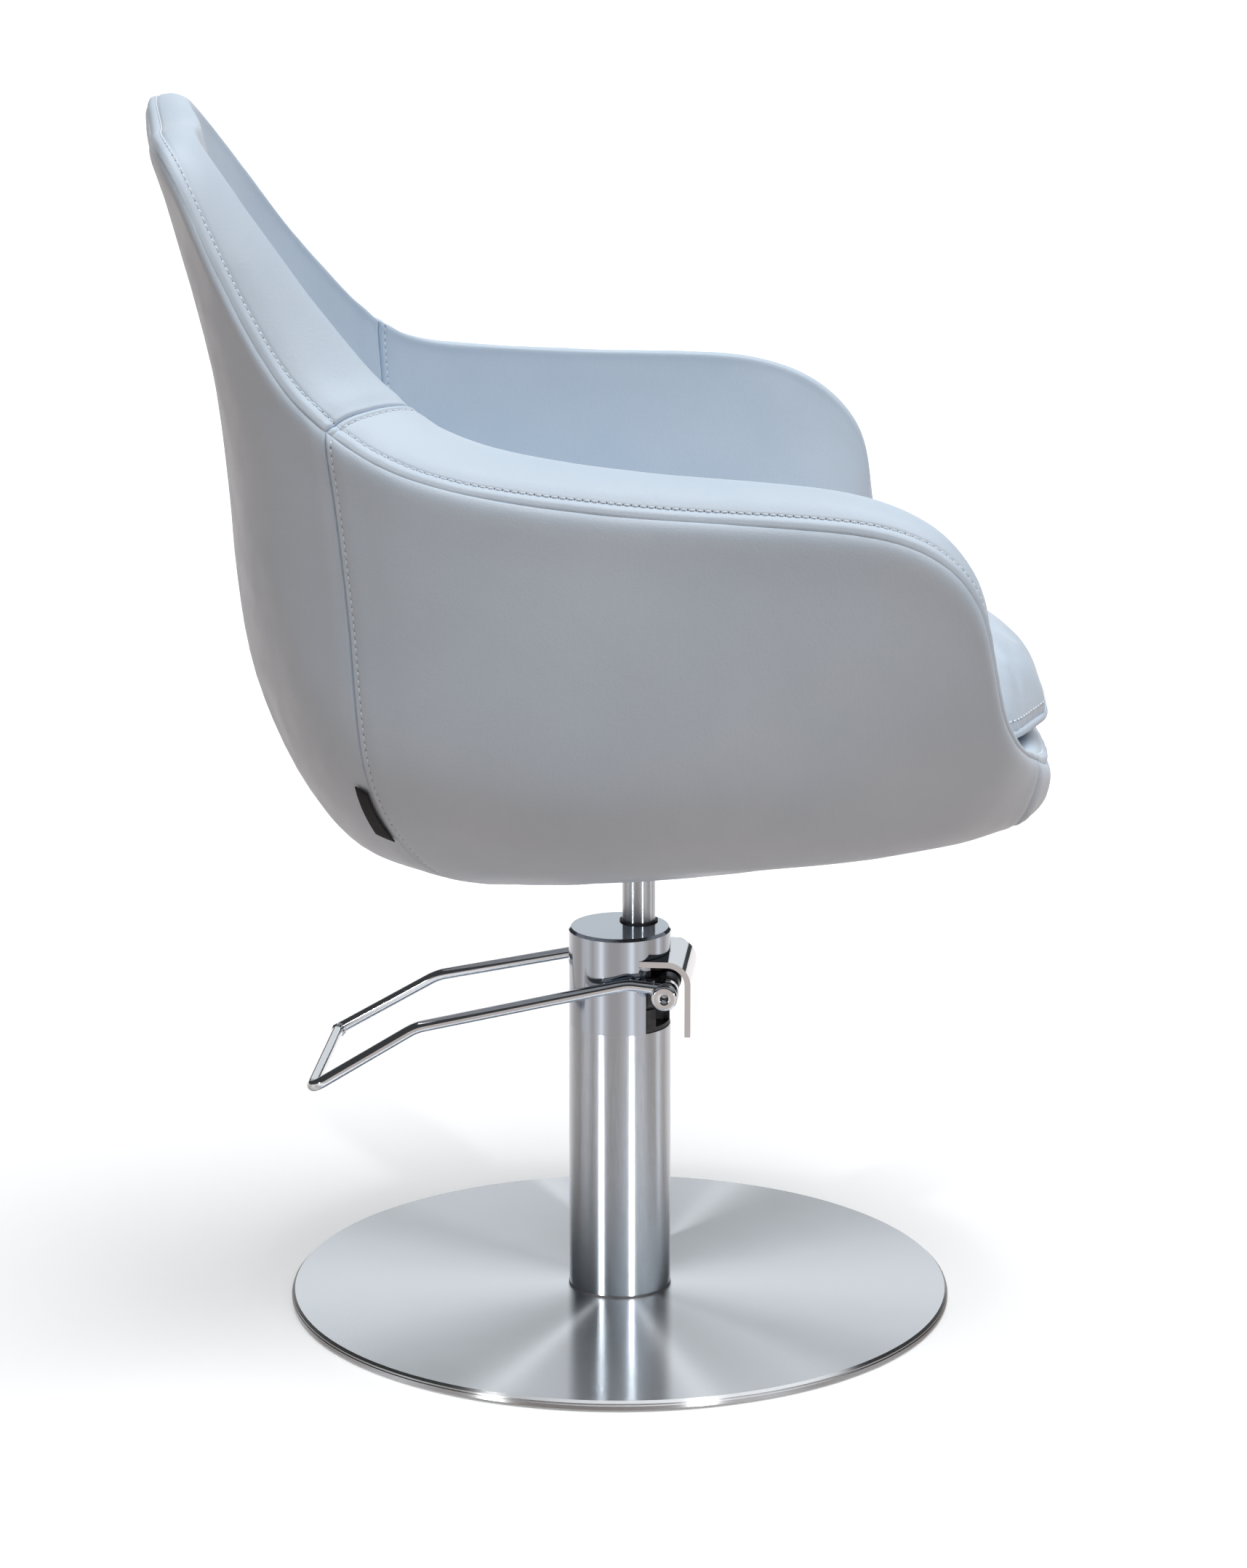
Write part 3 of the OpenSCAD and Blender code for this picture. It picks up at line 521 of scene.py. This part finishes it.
def stitches(name, path, up):
    """A row of separate thread stitches along path, each ending in a needle hole marked by a dark disc of
    painted shade.
    """
    total = length_of(path)
    count = int(total / STITCH_PITCH)
    s = (np.arange(count) + 0.5) * total / count
    middles = along(path, s)
    starts, ends = along(path, s - STITCH_LENGTH / 2), along(path, s + STITCH_LENGTH / 2)
    dist = np.concatenate([[0], np.cumsum(np.linalg.norm(np.diff(path, axis=0), axis=1))])
    outward = unit(np.stack([np.interp(s, dist, up[:, c]) for c in range(3)], 1))
    verts, faces, picks = [], [], []
    for p, q, middle, out in zip(starts, ends, middles, outward):
        t = unit(q - p)
        side = np.cross(t, out)
        thread = capped(len(THREAD_RINGS), 6, len(verts))
        for place, radius, lift in THREAD_RINGS:
            centre = middle + t * place * STITCH_LENGTH + out * lift * 0.9
            verts += [centre + (side * x + out * y) * STITCH_R * radius for x, y in HEXAGON]
        # a dark disc of painted shade between two stitches, where the thread goes into the leather
        hole_shade = capped(len(HOLE_RINGS), 6, len(verts))
        for lift, radius in HOLE_RINGS:
            centre = middle + t * (0.5 * STITCH_PITCH) + out * lift
            verts += [centre + (side * x * 1.15 + t * y * 0.7) * radius * HOLE_R for x, y in HEXAGON]
        faces += thread + hole_shade
        picks += [0] * len(thread) + [1] * len(hole_shade)
    return piece(name, verts, faces, [THREAD, HOLE_SHADE], "seat", (), picks)


def tube(path, r, sides=8, closed=True):
    """Round tube along a path."""
    t = unit(np.roll(path, -1, 0) - np.roll(path, 1, 0)) if closed else unit(np.gradient(path, axis=0))
    side = unit(np.cross(t, np.array([0, 0, 1.0])))
    top = np.cross(side, t)
    verts = []
    for k in range(sides):
        g = 2 * math.pi * k / sides
        verts.append(path + (side * math.cos(g) + top * math.sin(g)) * r)
    faces = wrap(len(path), sides) if closed else capped(len(path), sides)
    return np.stack(verts, 1).reshape(-1, 3), faces


# ---------------------------------------------------------------- the upholstered shell
# The rows of a cover: distances from the seam, shares of the way on to the bend, distances about
# the bend, shares of the rest, and the level at which the wall bends.
NEAR_IN = np.array([0, 0.5, 1.0, 1.6, 2.4, 3.4, 4.6, 6.0, 7.4, 8.8, 9.8, 10.5, 11.2, 11.9, 12.6,
                    13.6, 15, 17, 20, 24])
ROWS_IN = (NEAR_IN, np.arange(1, 7) / 7, np.array([-7, -4.5, -2, 0, 2, 4.5, 7, 10, 14, 19, 25.0]),
           np.arange(1, 23) / 22, 4)
NEAR_OUT = np.array([0, 0.5, 1.0, 1.6, 2.4, 3.4, 4.8, 6.6, 9, 12, 15.5, 20, 26])
ROWS_OUT = (NEAR_OUT, np.arange(1, 29) / 29, np.array([-6, 0, 6.0]), np.arange(1, 17) / 16, 3)
STITCH_ROW = 12         # the row of NEAR_IN that carries the edge's stitches
STITCH_COL = 8          # the column of EDGE beside which a seam is stitched down
COVER_T = 4.0


def cover(name, grid, height, sign, replaced):
    """A padded cover on grid, raised by height on its leather side; gives that side's points."""
    n = normals(grid, sign)
    front = grid + n * height[..., None]
    verts, faces = slab(front, grid - n * COVER_T, sign < 0)
    o = piece(name, verts, faces, [LEATHER], "seat", replaced)
    return front, normals(front, sign)


def seam_stitches(name, front, up, stitched0, stitched1, rows):
    if stitched0:
        stitches(name + "_seam_stitch_a", front[STITCH_COL, rows], up[STITCH_COL, rows])
    if stitched1:
        stitches(name + "_seam_stitch_b", front[-1 - STITCH_COL, rows], up[-1 - STITCH_COL, rows])


def inner_cover(name, u0, u1, stitched0, stitched1, replaced, seed):
    grid, d0, d1, down = panel_grid(INSIDE_FAIR, u0, u1, ROWS_IN)
    pucker = 0.16 * np.sin(d0 / 2.6 + 3 * value_noise(grid, 60, seed)) * bump(down, 9, 8)
    h = (sunk(down, 1.0, 1.8) + 1.5 * bump(down, 5.4, 3.6) - 1.0 * bump(down, 11.2, 1.5)
         + 1.1 * bump(down, 26, 12) + side_seam(d0, stitched0) + side_seam(d1, stitched1)
         + 0.55 * value_noise(grid, 95, seed + 1) + 0.16 * value_noise(grid, 34, seed + 2) + pucker)
    front, up = cover(name, grid, h, SIGN_IN, replaced)
    stitches(name + "_edge_stitch", front[3:-3, STITCH_ROW], up[3:-3, STITCH_ROW])
    seam_stitches(name, front, up, stitched0, stitched1, slice(STITCH_ROW + 2, -8))


def outer_cover(name, u0, u1, stitched0, stitched1, replaced, seed):
    grid, d0, d1, down = panel_grid(OUTER_FAIR, u0, u1, ROWS_OUT)
    roll = 3.4 * (down / 13) * np.exp(1 - down / 13)
    pucker = 0.12 * np.sin(d0 / 2.8 + 3 * value_noise(grid, 50, seed)) * bump(down, 5, 6)
    h = (sunk(down, 0.9, 1.3) - 0.4 * bump(down, 0, 3) + roll
         + side_seam(d0, stitched0) + side_seam(d1, stitched1)
         + 0.7 * value_noise(grid, 120, seed + 1) + 0.14 * value_noise(grid, 40, seed + 2) + pucker)
    front, up = cover(name, grid, h, SIGN_OUT, replaced)
    seam_stitches(name, front, up, stitched0, stitched1, slice(4, -12))


# the stations run from the back round the right side, so these signs turn the normals to the leather's face
SIGN_OUT, SIGN_IN = -1.0, 1.0
RIGHT, BACK = (CORNER, FRONT), (-CORNER, CORNER)
LEFT, FORE = (LOOP - FRONT, LOOP - CORNER), (FRONT, LOOP - FRONT)
inner_cover("cover_right_arm", *RIGHT, True, False, ("right_rim", "right_arm_pad"), 11)
inner_cover("cover_back", *BACK, False, False, ("back_rim", "inner_back_pad"), 12)
inner_cover("cover_left_arm", *LEFT, False, True, ("left_rim", "left_arm_pad"), 13)
inner_cover("cover_front", *FORE, False, False, ("front_rim", "front_pad"), 14)
outer_cover("panel_right", *RIGHT, True, False, ("outer_right_panel",), 21)
outer_cover("panel_back", *BACK, False, False, ("outer_back_panel",), 22)
outer_cover("panel_left", *LEFT, False, True, ("outer_left_panel",), 23)
outer_cover("panel_front", *FORE, True, True, ("front_apron",), 24)


def underside():
    """The covers end on a ring of leather that is drawn in round the mounting hollow."""
    rim = profile(OUTER_FAIR, np.linspace(0, LOOP, 153)[:-1], ROWS_OUT)[:, -1]
    out = unit(rim[:, :2] - RAM)

    def ring(share, lift, radius):
        """share of the way from the tub's rim to a circle round the ram."""
        xy = rim[:, :2] + (RAM + out * radius - rim[:, :2]) * share
        return np.column_stack([xy, FLOOR_Z - FLOOR_FALL * xy[:, 1] + lift])

    face = ((-0.06, 1.5), (0, 1.2), (0.08, 0.2), (0.5, -0.6), (0.92, 0), (1.0, 3.0), (1.0, 22), (1.0, 44))
    behind = ((1.0, 44), (0.55, 10), (0.05, 8))
    rings = [ring(*place, 108.6) for place in face] + [ring(*place, 112) for place in behind]
    faces = wrap(len(rings), len(rim), flip=True)
    o = piece("cover_underside", np.concatenate(rings), faces, [LEATHER], "seat",
              ("tub_base",))


underside()


def tag():
    """A plain black tag that hangs beside the right rear seam, 3 mm proud of the wall."""
    places = np.linspace(0, 1, 14)
    pts = []
    for down in places:
        wall = profile(OUTER_FAIR, np.linspace(5.72 - 0.17 * down, 5.97 - 0.02 * down, 9), ROWS_OUT)
        pts.append([along(line, [length_of(line) * (0.54 + 0.10 * down)])[0] for line in wall])
    pts = np.array(pts).transpose(1, 0, 2)
    n = normals(pts, SIGN_OUT)
    wave = 0.5 * np.sin(places * 5)[None, :] * np.linspace(0.2, 1, 9)[:, None]
    front = pts + n * (3.0 + wave)[..., None]
    back = pts + n * (2.0 + wave)[..., None]
    verts, faces = slab(front, back, SIGN_OUT < 0)
    piece("side_label", verts, faces, [TAG], "seat", ("side_tag",))


tag()


# ---------------------------------------------------------------- seat cushion
CUSHION_CLOTH = {
    "quality": 6, "mass": 0.4, "tension_stiffness": 25, "compression_stiffness": 25,
    "shear_stiffness": 12, "bending_stiffness": 2.5, "use_pressure": True,
    "uniform_pressure_force": 4.0, "vertex_group_mass": "pin"}
CUSHION_FRAMES = 20
CUSHION_SWELL = 10      # the most that the cloth may move from the CAD's cushion
CUSHION_HANG, CUSHION_BAND = 7, 48   # how far the lower edge hangs, and over what height
CUSHION_VOXEL, CUSHION_HELD = 6.5, 16   # the cloth's mesh, and the height of the part that is held
PIPING_Z, PIPING_R, PIPING_LIFT = 517.5, 3.6, 0.8
CUSHION_STITCH_Z = 529


def points_of(o):
    return np.array([v.co for v in o.data.vertices])


def apply_modifier(o, kind, **settings):
    m = o.modifiers.new(kind.lower(), kind)
    for key, value in settings.items():
        setattr(m, key, value)
    bpy.ops.object.modifier_apply(modifier=m.name)


def inflate(o, pinned_below):
    """Blows the cover up as cloth, with its lower face held."""
    before = points_of(o)
    group = o.vertex_groups.new(name="pin")
    group.add([int(i) for i in np.nonzero(before[:, 2] < pinned_below)[0]], 1.0, "REPLACE")
    c = o.modifiers.new("cloth", "CLOTH")
    for key, value in CUSHION_CLOTH.items():
        setattr(c.settings, key, value)
    c.settings.effector_weights.gravity = 0
    c.point_cache.frame_start = 1
    c.point_cache.frame_end = CUSHION_FRAMES
    for f in range(1, CUSHION_FRAMES + 1):
        scene.frame_set(f)
    bpy.ops.object.modifier_apply(modifier=c.name)
    scene.frame_set(1)
    move = points_of(o) - before
    size = np.linalg.norm(move, axis=1, keepdims=True)
    move = move * np.minimum(1, CUSHION_SWELL * MM / np.maximum(size, 1e-9))
    o.data.vertices.foreach_set("co", (before + move).ravel())


def cushion():
    """The CAD's cushion as a soft cover, blown up a little and hanging at its lower edge."""
    o = bpy.data.objects.new("cushion", frame["nodes"]["seat_cushion"].data.copy())
    o.data.name = "cushion"
    scene.collection.objects.link(o)
    for other in bpy.context.view_layer.objects:
        other.select_set(False)
    bpy.context.view_layer.objects.active = o
    o.select_set(True)
    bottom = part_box("seat_cushion")[0].z
    apply_modifier(o, "REMESH", mode="VOXEL", voxel_size=CUSHION_VOXEL * MM)
    apply_modifier(o, "SMOOTH", factor=0.5, iterations=8)
    inflate(o, bottom + CUSHION_HELD * MM)
    band = CUSHION_BAND * MM
    for v in o.data.vertices:
        v.co.z -= CUSHION_HANG * MM * min(1, max(0, (bottom + band - v.co.z) / band))
    apply_modifier(o, "SUBSURF", levels=1, render_levels=1)
    o.data.polygons.foreach_set("use_smooth", [True] * len(o.data.polygons))
    o.data.materials.clear()
    o.data.materials.append(LEATHER)
    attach(o, "seat")
    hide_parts("seat_cushion")
    return o


def ring_path(plan, z, n=240):
    """A level outline at height z."""
    pts = []
    for a in np.linspace(0, 2 * math.pi, n, endpoint=False):
        x, y = math.sin(a), math.cos(a)
        b = plan[1] if y >= 0 else plan[2]
        e = 2 / PLAN_N
        pts.append([RAM[0] + plan[0] * math.copysign(abs(x) ** e, x), b * math.copysign(abs(y) ** e, y), z])
    return np.array(pts)


def on_cushion(o, path, lift):
    """Moves a ring round the cushion onto its skin, and gives the skin's normals there."""
    tree = BVHTree.FromObject(o, bpy.context.evaluated_depsgraph_get())
    out, nrm = [], []
    for p in path:
        inside = Vector((RAM[0], p[1] * 0.5 - 20, p[2])) * MM
        d = (Vector(p) * MM - inside).normalized()
        hit, n, _, _ = tree.ray_cast(Vector(p) * MM + d * 0.08, -d)
        if hit is None:
            hit, n = Vector(p) * MM, d
        out.append(np.array(hit) / MM + np.array(n) * lift)
        nrm.append(np.array(n))
    return np.array(out), np.array(nrm)


def piping(o):
    """The welt round the cushion, and the row of stitches above it."""
    path, _ = on_cushion(o, ring_path(CUSHION_PLAN, PIPING_Z), PIPING_LIFT)
    for _ in range(6):
        path = (np.roll(path, 1, 0) + path * 2 + np.roll(path, -1, 0)) / 4
    verts, faces = tube(path, PIPING_R, 10)
    piece("cushion_piping", verts, faces, [LEATHER], "seat")
    stitches("cushion_stitch", *on_cushion(o, ring_path(CUSHION_PLAN, CUSHION_STITCH_Z), 0.1))


piping(cushion())


# ---------------------------------------------------------------- pedal
# The mechanism is drawn in its own frame, which is turned on the column: x along the pedal's
# pivot, y towards the pedal's end.
YAW = math.radians(-11)
TURNED = np.array([[math.cos(YAW), -math.sin(YAW), 0], [math.sin(YAW), math.cos(YAW), 0], [0, 0, 1]])
PIVOT = np.array([0, -42, 280.0])
PEDAL_MID, ROD_R, ROD_SIDES = 16, 5.0, 20
HUBS = ((-53, -35), (62, 86))       # the ends of the two hubs along the pivot


def world(p):
    return np.asarray(p, float) @ TURNED.T


def bent(points, radii):
    """Polyline with its inner corners rounded."""
    out = [np.array(points[0], float)]
    for a, b, c, r in zip(points[:-2], points[1:-1], points[2:], radii):
        a, b, c = (np.array(x, float) for x in (a, b, c))
        u, w = unit(a - b), unit(c - b)
        ang = math.acos(float(np.clip(u @ w, -1, 1)))
        t = r / math.tan(ang / 2)
        p, q = b + u * t, b + w * t
        centre = b + unit(u + w) * (r / math.sin(ang / 2))
        for k in np.linspace(0, 1, 10):
            x = p + (q - p) * k
            out.append(centre + unit(x - centre) * r)
    out.append(np.array(points[-1], float))
    return np.array(out)


def resampled(path, step=2.5):
    total = length_of(path)
    return along(path, np.linspace(0, total, max(3, int(total / step))))


def lathe(profile_pts, sides=40):
    """Closed solid of revolution about X from (x, r) points."""
    verts = []
    for x, r in profile_pts:
        for k in range(sides):
            g = 2 * math.pi * k / sides
            verts.append([x, r * math.cos(g), r * math.sin(g)])
    return np.array(verts), wrap(len(profile_pts), sides)


def merge(parts):
    """Several (points, faces) as one."""
    verts, faces, base = [], [], 0
    for v, f in parts:
        verts.append(np.asarray(v))
        faces += [tuple(i + base for i in g) for g in f]
        base += len(v)
    return np.concatenate(verts), faces


def bead(centre, axis, ring_r, r, seed, sides=26):
    """Uneven weld bead round a rod."""
    g = np.random.default_rng(seed)
    axis = unit(axis)
    a = unit(np.cross(axis, [0.3, 0.2, 0.9]))
    b = np.cross(axis, a)
    ang = np.linspace(0, 2 * math.pi, sides, endpoint=False)
    path = centre + np.outer(np.cos(ang), a) * ring_r + np.outer(np.sin(ang), b) * ring_r
    path = path + g.normal(size=path.shape) * 0.12
    rad = r * (1 + 0.16 * np.sin(ang * 9 + seed) + g.normal(size=sides) * 0.05)
    out = unit(path - centre)
    verts = []
    for k in range(8):
        h = 2 * math.pi * k / 8
        verts.append(path + (out * math.cos(h) + axis * math.sin(h)) * rad[:, None])
    return np.stack(verts, 1).reshape(-1, 3), wrap(sides, 8, flip=True)


def pedal():
    """One bent rod welded to a hub at either end; the right arm runs on as the bar across."""
    mid = PEDAL_MID
    parts = []
    for s in (-1, 1):
        arm = [[mid + s * 62.5, -42, 285], [mid + s * 66, -11, 289.5], [mid + s * 76, 166, 250.5],
               [mid + s * 84, 254, 197]]
        path = bent(arm, [26, 42]) if s > 0 else bent(arm + [[mid + 80, 254, 197]], [26, 42, 11])
        parts.append(tube(resampled(path), ROD_R, ROD_SIDES, False))
    parts.append(bead(np.array([mid + 79.5, 253.2, 197.4]), [1, 0.05, 0], 4.6, 1.7, 3))
    for x0, x1 in HUBS:
        v, f = lathe([(x0, 6.05), (x0, 10.2), (x0 + 0.8, 11), (x1 - 0.8, 11), (x1, 10.2), (x1, 6.05)], 48)
        parts.append((v + PIVOT, f))
    for s in (-1, 1):
        parts.append(bead(np.array([mid + s * 62.9, -31.2, 286.4]), [s * 0.1, 1, 0.14], 4.7, 1.3, 5 + s))
    v, f = merge(parts)
    piece("pedal_frame", world(v), f, [CHROME], "pedal", ("pedal_loop",))


def caps():
    """Turned caps on the pivot's ends, each with a recess for a key."""
    outline = [(0.05, 0.02), (0.05, 11), (2.2, 11), (3.4, 10.6), (4.3, 9.6), (4.5, 8.9), (4.5, 4.2),
               (4.0, 3.4), (1.6, 2.9), (1.6, 0.02)]
    parts = []
    for x, s in ((HUBS[0][0], -1), (HUBS[1][1], 1)):
        v, f = lathe([(x + s * a, r) for a, r in outline], 56)
        parts.append((v + PIVOT, f if s < 0 else [g[::-1] for g in f]))
    v, f = merge(parts)
    piece("pedal_pivot_caps", world(v), f, [CHROME, SEAL], "pedal", ("pivot_caps",))


pedal()
caps()


def soften_edges(name, width):
    """Bevels a CAD part's sharp edges by width, in millimetres."""
    m = frame["nodes"][name].modifiers.new("edge", "BEVEL")
    m.width = width * MM
    m.segments = 2
    m.limit_method = "ANGLE"
    m.angle_limit = math.radians(35)
    m.harden_normals = True


soften_edges("lever_shroud", 0.7)
soften_edges("head_cover", 0.5)
soften_edges("base_cover", 0.25)


# ---------------------------------------------------------------- studio
def stage_plane(name, size, loc, mat):
    me = bpy.data.meshes.new(name)
    h = size / 2
    me.from_pydata([(-h, -h, 0), (h, -h, 0), (h, h, 0), (-h, h, 0)], [], [(0, 1, 2, 3)])
    me.materials.append(mat)
    o = bpy.data.objects.new(name, me)
    scene.collection.objects.link(o)
    o.location = loc
    return o


# Painted reflections: brightness of the floor's glow that the chrome sees round the column, by the share of
# a turn.
REFLECTION_BANDS = [(0.0, 0.75), (0.10, 0.5), (0.17, 0.2), (0.225, 0.13), (0.25, 0.4), (0.29, 0.5), (0.325, 0.2),
         (0.36, 0.5), (0.385, 0.95), (0.41, 0.4), (0.44, 0.17), (0.49, 0.17), (0.54, 0.4), (0.575, 0.95),
         (0.60, 0.42), (0.64, 0.5), (0.69, 0.12), (0.735, 0.14), (0.765, 0.8), (0.79, 0.35), (0.82, 0.14),
         (0.87, 0.45), (0.94, 0.6), (1.0, 0.75)]


def painted_reflection_bands(nt):
    """Soft painted light and dark bands round the z axis, which the floor glows with for the chrome to show
    as reflections.
    """
    turned = nt.nodes.new("ShaderNodeMapping")
    turned.inputs["Rotation"].default_value = (0, 0, math.radians(-174))
    nt.links.new(coords(nt), turned.inputs["Vector"])
    around = nt.nodes.new("ShaderNodeTexGradient")
    around.gradient_type = "RADIAL"
    nt.links.new(turned.outputs["Vector"], around.inputs["Vector"])
    bands = nt.nodes.new("ShaderNodeValToRGB")
    ramp = bands.color_ramp
    for n, (place, value) in enumerate(REFLECTION_BANDS):
        e = ramp.elements[n] if n < 2 else ramp.elements.new(place)
        e.position = place
        e.color = (0.92 * value, 0.98 * value, 1.04 * value, 1)
    nt.links.new(around.outputs["Fac"], bands.inputs["Fac"])
    return bands.outputs["Color"]


def mix(nt, fac, a, b):
    """Colour a where fac is 0, b where it is 1; each is a colour or another node's output."""
    m = nt.nodes.new("ShaderNodeMix")
    m.data_type = "RGBA"
    nt.links.new(fac, m.inputs["Factor"])
    for socket, value in (("A", a), ("B", b)):
        if isinstance(value, tuple):
            m.inputs[socket].default_value = (*value, 1)
        else:
            nt.links.new(value, m.inputs[socket])
    return m.outputs["Result"]


def studio_floor():
    """White to the camera, a warm grey for the light that it throws back, and glowing for reflections only
    with painted light and dark bands, as chrome sees a room with studio cards."""
    m, nt, b = material("studio_floor", (0.9, 0.9, 0.9), 0.9, 0, 0.0)
    rays = nt.nodes.new("ShaderNodeLightPath").outputs
    white = two_tone(nt, noise(nt, coords(nt), 3, 2), (0.99, 0.99, 0.99), (1.0, 1.0, 1.0))
    nt.links.new(mix(nt, rays["Is Camera Ray"], (0.50, 0.41, 0.36), white), b.inputs["Base Color"])
    # painted reflections: the floor glows in the bands for glossy rays only
    glow = mix(nt, rays["Is Camera Ray"], painted_reflection_bands(nt), (0.14, 0.14, 0.14))
    nt.links.new(glow, b.inputs["Emission Color"])
    seen = nt.nodes.new("ShaderNodeMath")
    seen.operation = "MAXIMUM"
    nt.links.new(rays["Is Camera Ray"], seen.inputs[0])
    nt.links.new(rays["Is Glossy Ray"], seen.inputs[1])
    nt.links.new(seen.outputs["Value"], b.inputs["Emission Strength"])
    return m


stage_plane("studio_floor", 120, (0, 0, -0.0004), studio_floor())


def area(name, loc, target, size_x, size_y, power, colour=(1, 1, 1), spread=180):
    d = bpy.data.lights.new(name, "AREA")
    d.shape = "RECTANGLE"
    d.size, d.size_y = size_x, size_y
    d.energy = power
    d.color = colour
    d.spread = math.radians(spread)
    o = bpy.data.objects.new(name, d)
    scene.collection.objects.link(o)
    o.location = loc
    o.rotation_mode = "QUATERNION"
    o.rotation_quaternion = (Vector(target) - Vector(loc)).to_track_quat("-Z", "Y")
    o.visible_camera = False
    return o


def round_at(angle, dist, z):
    a = math.radians(angle)
    return (dist * math.cos(a), dist * math.sin(a), z)


def overhead():
    d = bpy.data.lights.new("overhead", "SUN")
    d.energy = 3.2
    d.angle = math.radians(75)
    d.color = (0.97, 0.985, 1.0)
    o = bpy.data.objects.new("overhead", d)
    scene.collection.objects.link(o)
    o.rotation_mode = "QUATERNION"
    o.rotation_quaternion = Vector((0.12, 0.20, -1)).to_track_quat("-Z", "Y")


overhead()
area("far_softbox", (4.6, -0.3, 2.05), (0, 0, 0.1), 5.2, 2.4, 34, (0.95, 0.98, 1.0))
# narrow strips that only the column and the disc see, as the two bright lines down the column
for side, angle in (("left", 132.6), ("right", 200.2)):
    area("strip_" + side, round_at(angle, 2.6, 0.25), (0, 0, -0.02), 0.15, 0.4, 0.6, (1, 1, 1), 13)


def surroundings():
    world_light = bpy.data.worlds.new("studio")
    scene.world = world_light
    world_light.use_nodes = True
    background = world_light.node_tree.nodes["Background"]
    background.inputs["Color"].default_value = (0.94, 0.97, 1.0, 1)
    background.inputs["Strength"].default_value = 0.06
    scene.view_settings.view_transform = "Standard"


surroundings()


def photo_camera():
    """The view of the reference: from the right side, a little from behind, looking down."""
    d = bpy.data.cameras.new("photo_camera")
    o = bpy.data.objects.new("photo_camera", d)
    scene.collection.objects.link(o)
    scene.camera = o
    d.sensor_fit = "HORIZONTAL"
    d.sensor_width = 36
    d.lens = 152.2496
    d.clip_end = 60
    right, up = Vector((-0.10453, -0.99452, 0)), Vector((0.25372, -0.02667, 0.96691))
    turn = Matrix((right, up, right.cross(up))).transposed().to_4x4()
    o.matrix_world = Matrix.Translation((-4.2311, 0.4416, 1.5714)) @ turn


photo_camera()
